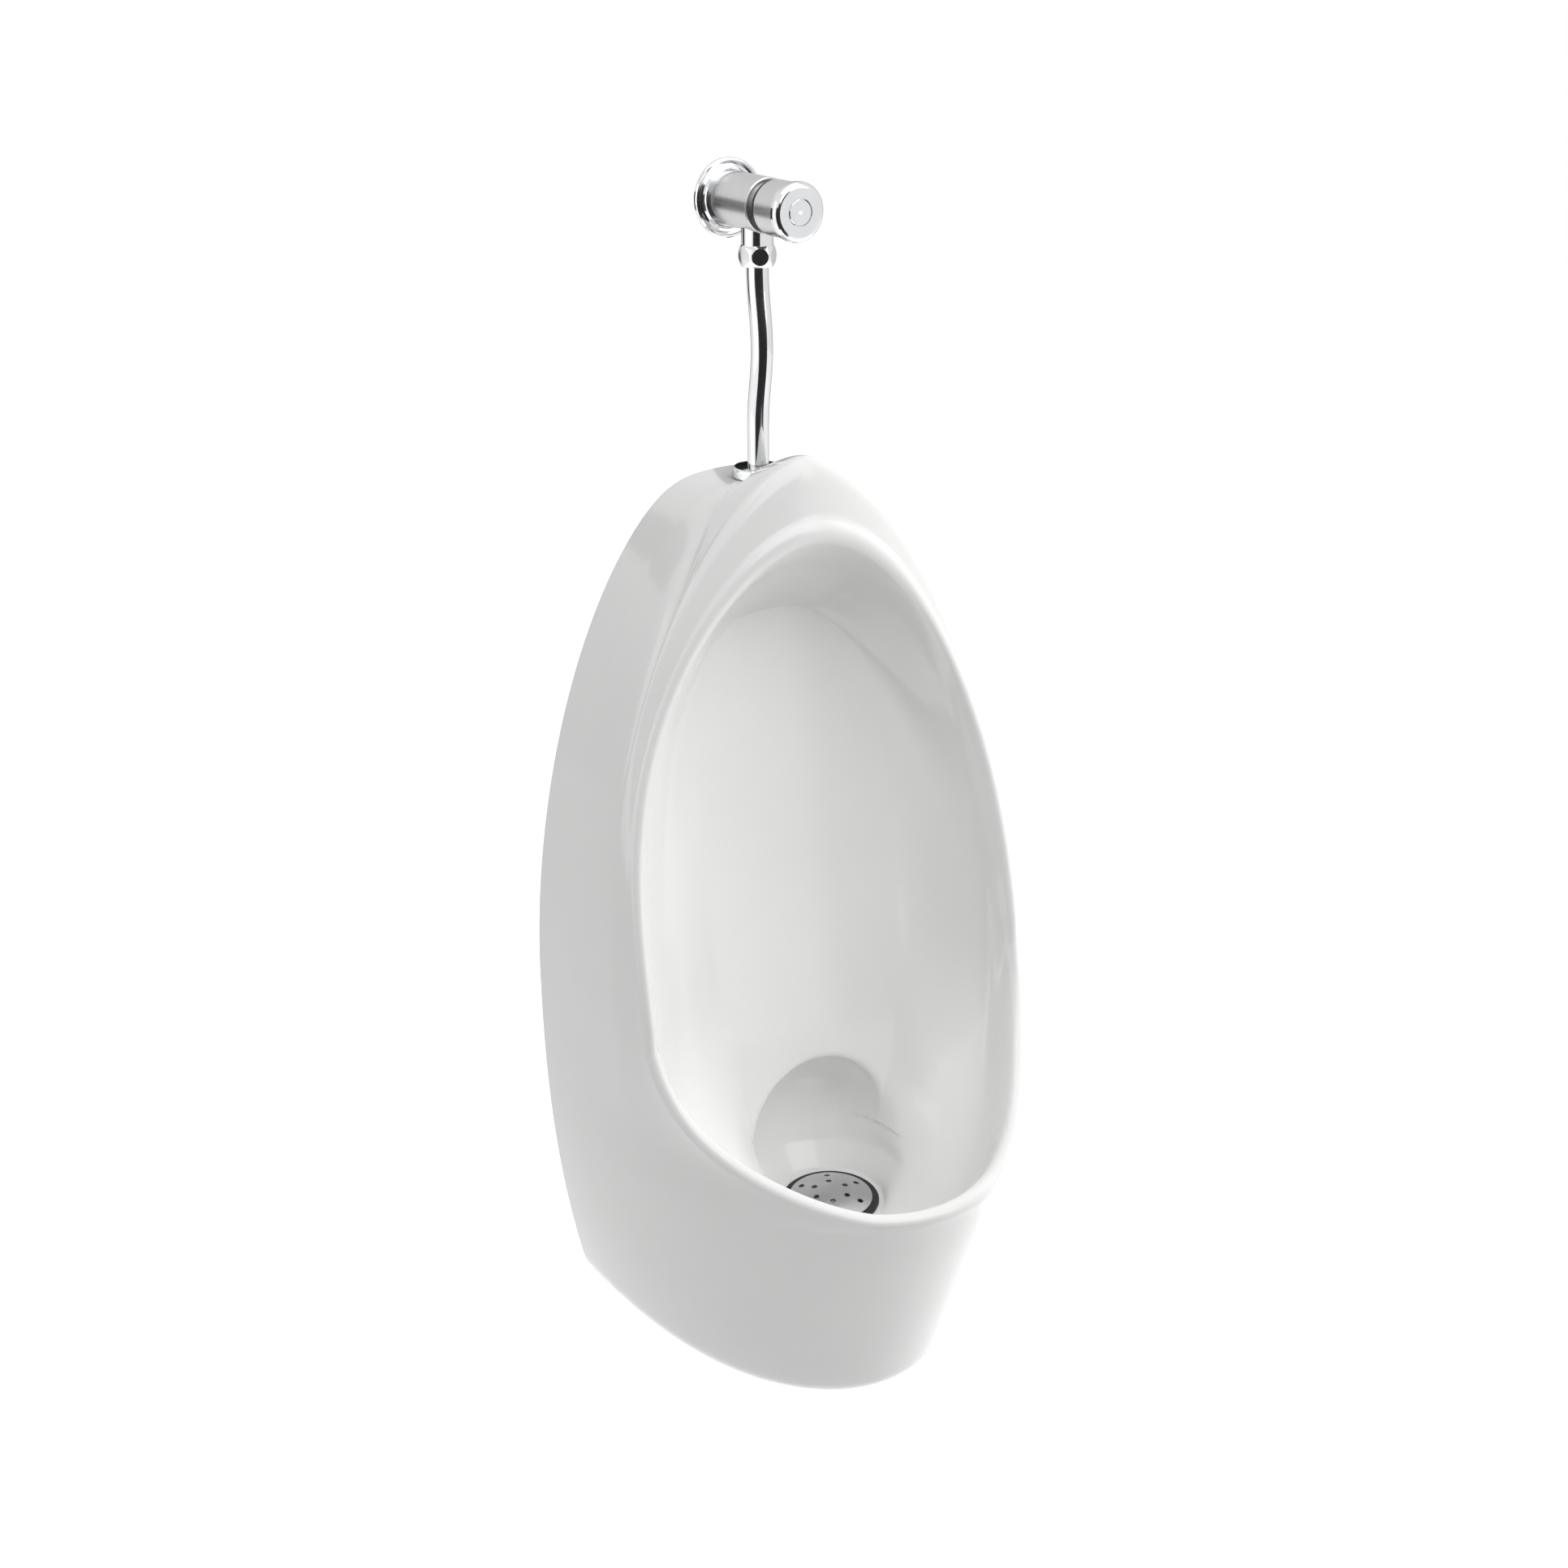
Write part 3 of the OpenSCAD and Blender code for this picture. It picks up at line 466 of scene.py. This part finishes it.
def skin(t, s):
    p = plain_skin(t, s)
    if s <= LEAD_IN:
        return p
    return p + (LIP_LINE - lip_radius(t)) * fade(s, LEAD_IN, 1 - LEAD_IN) * (lip_along(t) + lip_in(t))


def skin_in(t, s):
    """The skin's inner side."""
    p = plain_skin(t, s)
    n = unit(np.cross(plain_skin(t + 1, s) - plain_skin(t - 1, s), plain_skin(t, s + 0.02) - p))
    q = p + WALL * n
    q[:, 1] = np.where((t <= T_CORNER) & (s == 0), 0, np.minimum(q[:, 1], 0))
    return q


def bead_point(t, a):
    a = np.asarray(a, float)[..., None]
    return skin(t, 1) + lip_radius(t) * (sin(a) * lip_along(t) + (1 - cos(a)) * lip_in(t))


def bead_end(t):
    """The angle at which the bead runs on into the bowl's wall."""
    d = unit(bowl_ring(BOWL[0], t) - bead_point(t, BEAD_SIGHT + 0 * t))
    return np.degrees(np.arctan2(dot(d, lip_in(t)), dot(d, lip_along(t))))[..., 0] % 360


def bead(t, share):
    return bead_point(t, share * bead_end(t))


# ---------------------------------------------------------------- the bowl
def panel_at(x, z):
    return soft_cut(PANEL_D + PANEL_LEAN * (ARCH_Z - z), PANEL_LOW) + DISH * (x / PANEL_W) ** 2


def bowl_ring(ring, t):
    half, top_z, mid_z, low_z, top_d, side_d, low_d, top_n, low_n = ring
    up = t < 90
    c = np.abs(cos(t))
    e = 2 / np.where(up, top_n, low_n)
    x = half * pw(sin(t), e)
    z = mid_z + (np.where(up, top_z, low_z) - mid_z) * pw(c, e)
    if side_d == 0:
        return pack(x, -panel_at(x, z), z)
    top = top_d + SHOULDER * fade(t, 15, 30)
    g = np.where(up, 1 - pw(1 - pw(c, WALL_SOFT), LIP_D_POW), c * c)
    return pack(x, -lerp(side_d, np.where(up, top, low_d), g), z)


def bowl_knot(i, t):
    """Knot 0 is the bead's end, the next five are the rings of BOWL, and the last is the pole."""
    if i <= 0:
        return bead(t, 1)
    if i >= POLE_KNOT:
        return pack(0 * t, -panel_at(0, POLE_Z), POLE_Z)
    return bowl_ring(BOWL[i - 1], t)


def on_panel(p, v):
    """The slope v at the point p, laid into the back panel."""
    x, z = v[..., 0], v[..., 2]
    step = 1e-3
    rise = panel_at(p[..., 0] + step * x, p[..., 2] + step * z) - panel_at(p[..., 0], p[..., 2])
    return pack(x, -rise / step, z)


def bowl_slope(i, t):
    """The bowl's slope at a knot. The panel's arched top edge is a crisp crease, its sides are soft."""
    if i == 0:
        d = bowl_knot(1, t) - bowl_knot(0, t)
        a = bead_end(t)[..., None]
        return np.linalg.norm(d, axis=-1, keepdims=True) * (cos(a) * lip_along(t) + sin(a) * lip_in(t))
    v = (bowl_knot(i + 1, t) - bowl_knot(i - 1, t)) / 2
    if i == PANEL_KNOT:
        crisp = (1 - fade(t, 24, 26))[..., None]
        return lerp(on_panel(bowl_knot(i, t), v), bowl_knot(i, t) - bowl_knot(i - 1, t), crisp)
    return v


@both_sides
def bowl(t, u):
    """The bowl's surface: u runs from 0 at the bead to 6 at the pole, and is straight on the panel."""
    i = int(min(math.floor(u), POLE_KNOT - 1))
    if i < PANEL_KNOT:
        return hermite(bowl_knot(i, t), bowl_knot(i + 1, t), bowl_slope(i, t), bowl_slope(i + 1, t), u - i)
    p = lerp(bowl_knot(i, t), bowl_knot(i + 1, t), u - i)
    return pack(p[..., 0], -panel_at(p[..., 0], p[..., 2]), p[..., 2])


def bowl_out(t, u):
    """The bowl's hidden side."""
    p = bowl(t, u)
    n = unit(np.cross(bowl(t + 1, u) - bowl(t - 1, u), bowl(t, u + 0.02) - bowl(t, u - 0.02)))
    return p + WALL * n


# ---------------------------------------------------------------- the recess behind the waste
# The scoop and the flare round the waste are both pushed out of the bowl along rays from one
# point, with a soft edge
EYE = np.array([0, -140.0, -330.0])
DOWN = -0.05  # a ray that points lower than this can meet the floor
FLARE_GAP = 1.7  # from the dark ring to the foot of the flare
FLARE_WIDE = 10  # how much wider the flare is at its top, if it were straight
FLARE_CURL = 8  # how much more it opens by curling outwards
FLARE_HIGH = 40
FLARE_RIM = 0.75  # share of its reach that is left at its top rim
FLARE_FADE = 16  # distance below that rim over which the rest comes in
NEAR_W = 95  # the bowl's points outside these three limits stay as they are
NEAR_TOP = -235
NEAR_FRONT = -225


def scoop_reach(d, grow):
    """Distance along direction d from EYE to the scoop's wall."""
    r = np.array([SCOOP_R + grow, SCOOP_R + grow, SCOOP_R - SCOOP_SQUAT + grow])
    o = (EYE - np.array([0, -SCOOP_D, SCOOP_Z])) / r
    v = d / r
    a, b, c = (v * v).sum(-1), 2 * (v * o).sum(-1), (o * o).sum() - 1
    return (-b + np.sqrt(np.maximum(b * b - 4 * a * c, 0))) / (2 * a)


def flare_reach(d, grow):
    """Distance along direction d from EYE to the flare's wall or to the floor inside it."""
    k = np.linspace(0, 1, 41)
    r = RING_R + FLARE_GAP + FLARE_WIDE * k + FLARE_CURL * k * k + grow
    z = FLOOR_Z - grow + FLARE_HIGH * (1 - (1 - k) ** 2) * (0.35 + 0.65 * k)
    down = d[:, 2] < DOWN
    drop = np.where(down, d[:, 2], -1)
    lo = np.maximum((z[-1] - EYE[2]) / drop, 0)
    hi = (z[0] - EYE[2]) / drop

    def inside(s):
        p = EYE + d * s[:, None]
        rad = np.hypot(p[:, 0], p[:, 1] + DRAIN_D)
        return rad < np.interp(p[:, 2], z, r)
    good = down & inside(lo + 0.01)
    full = inside(hi - 1e-6)
    a, b = lo.copy(), hi.copy()
    for _ in range(40):
        m = (a + b) / 2
        ok = inside(m)
        a, b = np.where(ok, m, a), np.where(ok, b, m)
    reach = np.where(full, hi, a)
    below = z[-1] - (EYE[2] + d[:, 2] * reach)
    return np.where(good, reach * (FLARE_RIM + (1 - FLARE_RIM) * ease(below / FLARE_FADE)), 0)


def pushed(p, grow, k):
    """Points of the bowl, pushed out to the recess where it lies deeper. k is the edge's softness."""
    v = p - EYE
    r = np.linalg.norm(v, axis=-1)
    d = v / np.maximum(r, 1e-6)[:, None]
    near = (np.abs(p[:, 0]) < NEAR_W) & (p[:, 2] < NEAR_TOP) & (p[:, 1] > NEAR_FRONT)
    s, f = scoop_reach(d, grow), flare_reach(d, grow)
    wide = soft_max(r, soft_max(s, f, 4 * k), k)
    if grow == 0:
        floor_at = np.maximum((FLOOR_Z - EYE[2]) / np.minimum(d[:, 2], DOWN), r)
        wide = np.where(d[:, 2] < DOWN, np.minimum(wide, floor_at), wide)
    return np.where(near[:, None], EYE + d * wide[:, None], p)


# ---------------------------------------------------------------- the china's mesh
EDGE_SOFT = 8  # softness of the recess's edge inside the bowl
BACK_SOFT = 9  # the same on the hidden side


def outer_rings(t):
    """The skin from the wall to the lip, with the hood's crease eased along the flank."""
    shares = np.concatenate([np.arange(0, 0.6, 0.02), np.arange(0.6, 1, 0.008), [1]])
    rings = np.array([skin(t, s) for s in shares])
    flank = (1 - fade(t, 74, 20))[None, :, None]
    slack = flank * (fade(shares, 0.5, 0.1) * (1 - fade(shares, 0.9, 0.06)))[:, None, None]
    for _ in range(40):
        rings[1:-1] += 0.5 * slack[1:-1] * ((rings[:-2] + rings[2:]) / 2 - rings[1:-1])
    return list(rings)


def bowl_rings(t):
    """The bowl from the lip to the panel, with its walls eased round the side at station 88."""
    us = np.concatenate([np.arange(0.05, 1.5, 0.05), np.arange(1.5, 5.9, 0.03)])
    rings = np.array([bowl(t, u) for u in us])
    before, after = np.diff(t)[:-1, None], np.diff(t)[1:, None]
    walls = (fade(us, 0.2, 0.5) * (1 - fade(us, 2.4, 0.5)))[:, None, None]
    slack = walls * np.exp(-((t[1:-1] - 88) / 34) ** 2)[None, :, None]
    for _ in range(150):
        level = (after * rings[:, :-2] + before * rings[:, 2:]) / (before + after)
        rings[:, 1:-1] += 0.5 * slack * (level - rings[:, 1:-1])
    return [pushed(ring, 0, EDGE_SOFT) for ring in rings]


def whole_ring(ring):
    """One half's ring, closed round the other half."""
    ring = ring.copy()
    ring[0, 0] = ring[-1, 0] = 0
    return np.concatenate([ring, ring[-2:0:-1] * FLIP])


def china_shell(name):
    """One closed shell: from the bowl's hidden pole over the inner and outer skin into the bowl."""
    t = np.concatenate([np.arange(0, 120, 1.0), np.arange(120, 180.01, 0.5)])
    us = np.concatenate([np.arange(5.6, 1.6, -0.1), [1.5, 1.25]])
    rings = [pushed(bowl_out(t, u), WALL, BACK_SOFT) for u in us]
    rings += [skin_in(t, s) for s in (0.66, 0.6, 0.52, 0.45, 0.37, 0.3, 0.22, 0.15, 0.07, 0)]
    rings += outer_rings(t)
    rings += [bead(t, share) for share in np.linspace(0, 1, 16)[1:]]
    rings += bowl_rings(t)
    pole = bowl(np.array([0.0]), POLE_KNOT)
    back_pole = pushed(pole + [[0, WALL, 0]], WALL, BACK_SOFT)
    front_pole = pushed(pole, 0, EDGE_SOFT)
    points = np.concatenate([whole_ring(ring) for ring in rings] + [back_pole, front_pole])
    rows, sides = len(rings), 2 * (len(t) - 1)
    faces = band_faces(rows, sides, False)
    last = (rows - 1) * sides
    for k in range(sides):
        faces.append((rows * sides, (k + 1) % sides, k))
    for k in range(sides):
        faces.append((rows * sides + 1, last + k, last + (k + 1) % sides))
    obj = mesh_object(name, points, faces)
    face_outwards(obj)
    return obj


def pocket(x, y0, y1, z0, z1):
    """A box with rounded corners, as deep as y0 to y1, to be cut out for a hanger."""
    w, r = POCKET_W, POCKET_R
    ring = []
    for cx, cz, a0 in ((w - r, z1 - r, 0), (-w + r, z1 - r, 90), (-w + r, z0 + r, 180), (w - r, z0 + r, 270)):
        for a in range(a0, a0 + 91, 15):
            ring.append((x + cx + r * cos(a), cz + r * sin(a)))
    return block("pocket", [(px, y, pz) for px, pz in ring for y in (y0, y1)])


def china_body(name):
    body = china_shell(name)
    waste_place = at(0, -DRAIN_D, FLOOR_Z)
    seat_place = at(0, -PIPE_D, LEDGE_Z - SEAT_DEEP)
    boss = [[0, -BOSS_T], [BOSS_R - 2, -BOSS_T], [BOSS_R - 0.6, 0.6 - BOSS_T], [BOSS_R, 2 - BOSS_T],
            [BOSS_R, -0.4], [0, -0.4]]
    boolean(body, lathe("boss", boss, waste_place), "UNION")
    for side in (-FIX_W / 2, FIX_W / 2):
        lug = block("lug", [(side + x, y, z) for x in (-LUG_W, LUG_W) for y, z in LUG_SIDE])
        bevel(lug, 0.003, 3)
        apply_modifiers(lug)
        boolean(body, lug, "UNION")
    drill(body, "sink", SINK_R, -SINK_DEEP, 14, waste_place)
    drill(body, "bore", BORE_R, -60, 20, waste_place)
    drill(body, "seat", SEAT_R, 0, 40, seat_place)
    drill(body, "inlet", INLET_HOLE_R, -40, 20, seat_place)
    for side in (-FIX_W / 2, FIX_W / 2):
        boolean(body, pocket(side, -4.5, 10, -60, 30), "DIFFERENCE")
        boolean(body, pocket(side, -16, 4, -60, 16), "DIFFERENCE")
        boolean(body, pocket(side, -16, -9.8, 0, 29), "DIFFERENCE")
    smooth(body, 38)
    return body


china = china_body("china")


# ---------------------------------------------------------------- the flush pipe
def pipe_mesh(name):
    """A bent tube: down its outside from the collar inside the nut, and back up its bore."""
    end = BULGE_TOP - 2 * BULGE_HALF
    outside = [(-35, COLLAR_R), (-36.2, COLLAR_R), (-36.6, COLLAR_R - 0.4), (-36.6, PIPE_R)]
    outside += [(z, PIPE_R) for z in np.linspace(-37.5, BULGE_TOP, 3)]
    outside += [(z, PIPE_R) for z in np.linspace(BULGE_TOP - 1.5, end, 70)]
    outside += [(z, PIPE_R) for z in np.linspace(end - 4, PIPE_END, 6)]
    bore = [(z, PIPE_BORE) for z, _ in outside[::-1]]
    sides = 64
    a = np.arange(sides) * 2 * np.pi / sides
    rows = []
    for z, r in outside + bore:
        u = min(max((BULGE_TOP - z) / BULGE_HALF, 0), 2)
        out = PIPE_BULGE * (1 - math.cos(math.pi * u)) / 2
        tilt = math.atan(PIPE_BULGE * math.pi / 2 / BULGE_HALF * math.sin(math.pi * u))
        rows.append(np.stack([r * np.cos(a), -PIPE_D - out + r * np.sin(a) * math.cos(tilt),
                              VALVE_Z + z - r * np.sin(a) * math.sin(tilt)], -1))
    obj = mesh_object(name, np.concatenate(rows), band_faces(len(rows), sides, True))
    face_outwards(obj)
    smooth(obj, 40)
    return obj


pipe = pipe_mesh("chrome_pipe")


# ---------------------------------------------------------------- the coupling nut
def nut_mesh(name):
    """A hexagon under a round chamfer, bored for the pipe and its collar."""
    r = NUT_AF / 2 / math.cos(math.radians(30))
    middle = (NUT_LOW + NUT_TOP) / 2
    ring = [(r * cos(a), r * sin(a)) for a in np.arange(NUT_TURN, NUT_TURN + 359, 60)]
    nut = block(name, [(x, y - PIPE_D, VALVE_Z + z) for x, y in ring for z in (NUT_LOW, NUT_TOP)])
    place = at(0, -PIPE_D, VALVE_Z)
    round_side = [[math.sqrt(NUT_CHAMFER - (z - middle) ** 2), z] for z in np.linspace(NUT_LOW, NUT_TOP, 29)]
    boolean(nut, lathe("barrel", [[0, NUT_LOW]] + round_side + [[0, NUT_TOP]], place), "INTERSECT")
    drill(nut, "socket", COLLAR_R, -36.6, -20, place)
    drill(nut, "way", PIPE_R + 0.1, -45, -30, place)
    bevel(nut, 0.0004, 3, 16)
    apply_modifiers(nut)
    smooth(nut, 14)
    return nut


nut = nut_mesh("chrome_nut")


# ---------------------------------------------------------------- the return spring
def spring_mesh(name):
    """A coiled wire on the valve's axis, as long as the spring is at rest."""
    per_turn, sides = 48, 12
    count = round(SPRING_COILS * per_turn)
    b = np.arange(sides) * 2 * np.pi / sides
    rows = []
    for k in range(count + 1):
        a = 360 * k / per_turn
        r = SPRING_R + SPRING_WIRE * np.cos(b)
        d = SPRING_D + SPRING_LONG * k / count + SPRING_WIRE * np.sin(b)
        rows.append(np.stack([r * cos(a), -d, VALVE_Z + r * sin(a)], -1))
    faces = band_faces(count + 1, sides, False)
    faces += [tuple(range(sides)), tuple(count * sides + j for j in range(sides - 1, -1, -1))]
    obj = mesh_object(name, np.concatenate(rows), faces)
    face_outwards(obj)
    smooth(obj, 40)
    return obj


spring = spring_mesh("valve_spring")


# ---------------------------------------------------------------- materials
def new_material(name):
    mat = bpy.data.materials.new(name)
    mat.use_nodes = True
    tree = mat.node_tree
    return mat, tree, tree.nodes["Principled BSDF"]


def noise(tree, scale, detail, roughness, stretch=None):
    coord = tree.nodes.new("ShaderNodeTexCoord")
    tex = tree.nodes.new("ShaderNodeTexNoise")
    tex.inputs["Scale"].default_value = scale
    tex.inputs["Detail"].default_value = detail
    tex.inputs["Roughness"].default_value = roughness
    if stretch:
        mapping = tree.nodes.new("ShaderNodeMapping")
        mapping.inputs["Scale"].default_value = stretch
        tree.links.new(coord.outputs["Object"], mapping.inputs["Vector"])
        tree.links.new(mapping.outputs["Vector"], tex.inputs["Vector"])
    else:
        tree.links.new(coord.outputs["Object"], tex.inputs["Vector"])
    return tex.outputs["Fac"]


def two_tones(tree, fac, dark, light):
    node = tree.nodes.new("ShaderNodeValToRGB")
    for element, position, colour in zip(node.color_ramp.elements, (0.3, 0.7), (dark, light)):
        element.position = position
        element.color = (*colour, 1)
    tree.links.new(fac, node.inputs["Fac"])
    return node.outputs["Color"]


def span(tree, fac, lo, hi):
    node = tree.nodes.new("ShaderNodeMapRange")
    node.inputs["To Min"].default_value = lo
    node.inputs["To Max"].default_value = hi
    tree.links.new(fac, node.inputs["Value"])
    return node.outputs["Result"]


def bump(tree, shader, layers):
    """layers: (height, strength, distance in metres)"""
    last = None
    for height, strength, distance in layers:
        node = tree.nodes.new("ShaderNodeBump")
        node.inputs["Strength"].default_value = strength
        node.inputs["Distance"].default_value = distance
        tree.links.new(height, node.inputs["Height"])
        if last is not None:
            tree.links.new(last, node.inputs["Normal"])
        last = node.outputs["Normal"]
    tree.links.new(last, shader.inputs["Normal"])


def surface(name, light, dark, rough, scale, grain, depth, metallic=1.0, stretch=None):
    """Two tones in wide patches, with a fine grain that varies the roughness and the relief."""
    mat, tree, shader = new_material(name)
    shader.inputs["Metallic"].default_value = metallic
    shader.inputs["IOR"].default_value = 1.5
    wide = noise(tree, scale, 4, 0.55)
    fine = noise(tree, grain, 3, 0.6, stretch)
    tree.links.new(two_tones(tree, wide, dark, light), shader.inputs["Base Color"])
    tree.links.new(span(tree, fine, *rough), shader.inputs["Roughness"])
    bump(tree, shader, [(wide, 0.35, depth * 3), (fine, 0.5, depth)])
    return mat


glaze = surface("china_glaze", (0.87, 0.87, 0.862), (0.845, 0.846, 0.84), (0.1, 0.17),
                9, 160, 0.000012, metallic=0.0)
bright = surface("bright_chrome", (0.76, 0.765, 0.775), (0.72, 0.725, 0.735), (0.08, 0.13),
                 60, 900, 0.000003)
satin = surface("satin_chrome", (0.62, 0.62, 0.625), (0.57, 0.57, 0.575), (0.24, 0.34),
                40, 700, 0.000006, stretch=(1, 0.05, 1))
plate = surface("strainer_chrome", (0.6, 0.605, 0.61), (0.57, 0.575, 0.58), (0.27, 0.32),
                90, 1100, 0.000004)
waste = surface("waste_chrome", (0.6, 0.61, 0.62), (0.5, 0.51, 0.52), (0.3, 0.42),
                50, 600, 0.00001)
brass = surface("brass", (0.68, 0.5, 0.24), (0.55, 0.38, 0.17), (0.25, 0.42),
                50, 500, 0.00001)
zinc = surface("zinc_steel", (0.62, 0.63, 0.62), (0.48, 0.5, 0.5), (0.35, 0.5),
               120, 500, 0.00001)
rubber = surface("black_rubber", (0.02, 0.02, 0.021), (0.012, 0.012, 0.012), (0.45, 0.6),
                 60, 900, 0.00001, metallic=0.0)
plastic = surface("white_plastic", (0.7, 0.69, 0.66), (0.64, 0.63, 0.6), (0.35, 0.45),
                  60, 700, 0.00001, metallic=0.0)

# Chrome's edges reflect less than a full mirror's
for metal, tint in ((bright, 0.5), (satin, 0.75)):
    metal.node_tree.nodes["Principled BSDF"].inputs["Specular Tint"].default_value = (tint, tint, tint, 1)

LOOKS = {
    "waste_strainer": plate, "strainer_gasket": rubber, "waste_body": waste, "waste_washer": rubber,
    "waste_backnut": brass, "wall_hangers": zinc, "hanger_washers": zinc, "hanger_screws": zinc,
    "valve_wall_flange": bright, "inlet_nipple": brass, "valve_body": satin, "body_seal_ring": rubber,
    "valve_sleeve": satin, "push_cap": bright, "cap_insert": bright, "push_stem": bright,
    "piston": plastic, "piston_seal": rubber, "valve_seat": brass, "stem_guide": plastic,
    "stem_seal": rubber, "outlet_spigot": bright, "coupling_washer": rubber,
    "inlet_rosette": bright, "inlet_spud": rubber,
}
for name, look in LOOKS.items():
    dress(NODES[name], look)
    bevel(NODES[name], 0.00015, 2, 35)

for obj, look, body, node, slot in (
        (china, glaze, "fixed", "china_body", "china"),
        (pipe, bright, "fixed", "flush_pipe", "bright_chrome"),
        (nut, bright, "fixed", "coupling_nut", "bright_chrome")):
    dress(obj, look)
    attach(obj, body)
    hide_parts(node)

dress(spring, bright)
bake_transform(spring)
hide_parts("return_spring")


# ---------------------------------------------------------------- floor
def plane(name, size, centre, towards=(0, 0, 1)):
    mesh = bpy.data.meshes.new(name)
    w, h = size[0] / 2, size[1] / 2
    mesh.from_pydata([(-w, -h, 0), (w, -h, 0), (w, h, 0), (-w, h, 0)], [], [(0, 1, 2, 3)])
    obj = link(bpy.data.objects.new(name, mesh))
    obj.rotation_euler = Vector(towards).to_track_quat("Z", "Y").to_euler()
    obj.location = centre
    return obj


def maths(tree, how, first, second):
    """A maths node on two values, each the output of a node or a number."""
    node = tree.nodes.new("ShaderNodeMath")
    node.operation = how
    for value, socket in zip((first, second), node.inputs):
        if isinstance(value, float):
            socket.default_value = value
        else:
            tree.links.new(value, socket)
    return node.outputs[0]


def floor_material():
    """Plain pale, and white where the camera and reflections see it, with the object's shadow."""
    mat, tree, shader = new_material("floor")
    shader.inputs["Base Color"].default_value = (0.7, 0.7, 0.7, 1)
    shader.inputs["Roughness"].default_value = 0.9
    path = tree.nodes.new("ShaderNodeLightPath")
    glow = tree.nodes.new("ShaderNodeEmission")
    glow.inputs["Color"].default_value = (1, 1, 1, 1)
    seen = maths(tree, "MAXIMUM", path.outputs["Is Camera Ray"], path.outputs["Is Glossy Ray"])
    tree.links.new(maths(tree, "MULTIPLY", seen, 0.9), glow.inputs["Strength"])
    both = tree.nodes.new("ShaderNodeAddShader")
    tree.links.new(shader.outputs[0], both.inputs[0])
    tree.links.new(glow.outputs[0], both.inputs[1])
    tree.links.new(both.outputs[0], tree.nodes["Material Output"].inputs["Surface"])
    return mat


floor = plane("floor", (14, 14), (0, 0, -1.35))
dress(floor, floor_material())


# ---------------------------------------------------------------- backdrop and lamps
def studio_world():
    """White to the camera and to reflections, and a dim fill for everything else."""
    world = bpy.data.worlds.new("studio")
    world.use_nodes = True
    tree = world.node_tree
    tree.nodes.clear()
    path = tree.nodes.new("ShaderNodeLightPath")
    seen = maths(tree, "MAXIMUM", path.outputs["Is Camera Ray"], path.outputs["Is Glossy Ray"])
    seen = maths(tree, "MAXIMUM", seen, path.outputs["Is Transmission Ray"])
    back = tree.nodes.new("ShaderNodeBackground")
    back.inputs["Color"].default_value = (1, 1, 1, 1)
    tree.links.new(span(tree, seen, 0.28, 1.0), back.inputs["Strength"])
    out = tree.nodes.new("ShaderNodeOutputWorld")
    tree.links.new(back.outputs[0], out.inputs["Surface"])
    return world


def area(name, place, size, power):
    """A rectangular lamp, its size in metres and its power in watts, turned to the object."""
    target = Vector((0, -0.1, -0.1))
    lamp = bpy.data.lights.new(name, "AREA")
    lamp.shape = "RECTANGLE"
    lamp.size, lamp.size_y = size
    lamp.energy = power
    obj = link(bpy.data.objects.new(name, lamp))
    obj.location = place
    obj.rotation_euler = (target - Vector(place)).to_track_quat("-Z", "Y").to_euler()
    return obj


bpy.context.scene.world = studio_world()
key = area("key", (2.35, -0.3, 0.4), (2.4, 2.6), 59)
key.visible_glossy = False
area("front", (0.6, -2.2, 1.3), (2.1, 2.1), 23)
area("top", (0, -0.6, 2.3), (2.3, 2.3), 23)
area("fill", (-2.1, 0.2, 0.5), (1.9, 1.9), 12)

# Dark cards that only reflections see, hidden from the camera, from diffuse light and from shadows: painted
# dark reflections in the chrome and the glaze
dark, _, reflection_card_shader = new_material("painted_reflection_dark")
reflection_card_shader.inputs["Base Color"].default_value = (0.012, 0.012, 0.013, 1)
reflection_card_shader.inputs["Roughness"].default_value = 0.9
# each card's near-black colour is a painted dark reflection, seen only by glossy rays
for name, size, centre, towards in (
        ("card_front", (3.0, 1.9), (-0.59, -1.49, -0.35), (0.27, 0.96, 0)),
        ("card_side", (0.14, 0.17), (-0.212, 0.27, 0.285), (0.52, -0.84, 0.13)),
        ("card_back", (0.08, 0.07), (0.064, 0.058, 0.19), (-0.52, -0.8, -0.2))):
    card = plane(name, size, centre, towards)
    dress(card, dark)
    card.visible_camera = False
    card.visible_diffuse = False
    card.visible_shadow = False

# ---------------------------------------------------------------- camera
camera = link(bpy.data.objects.new("camera", bpy.data.cameras.new("camera")))
camera.location = (-0.75484, -1.24509, 0.51519)
camera.rotation_euler = (math.radians(67.21), 0, math.radians(-32.73))
camera.data.lens = 48.45
camera.data.sensor_width = 36
camera.data.clip_start = 0.05
bpy.context.scene.camera = camera
bpy.context.scene.view_settings.view_transform = "Standard"
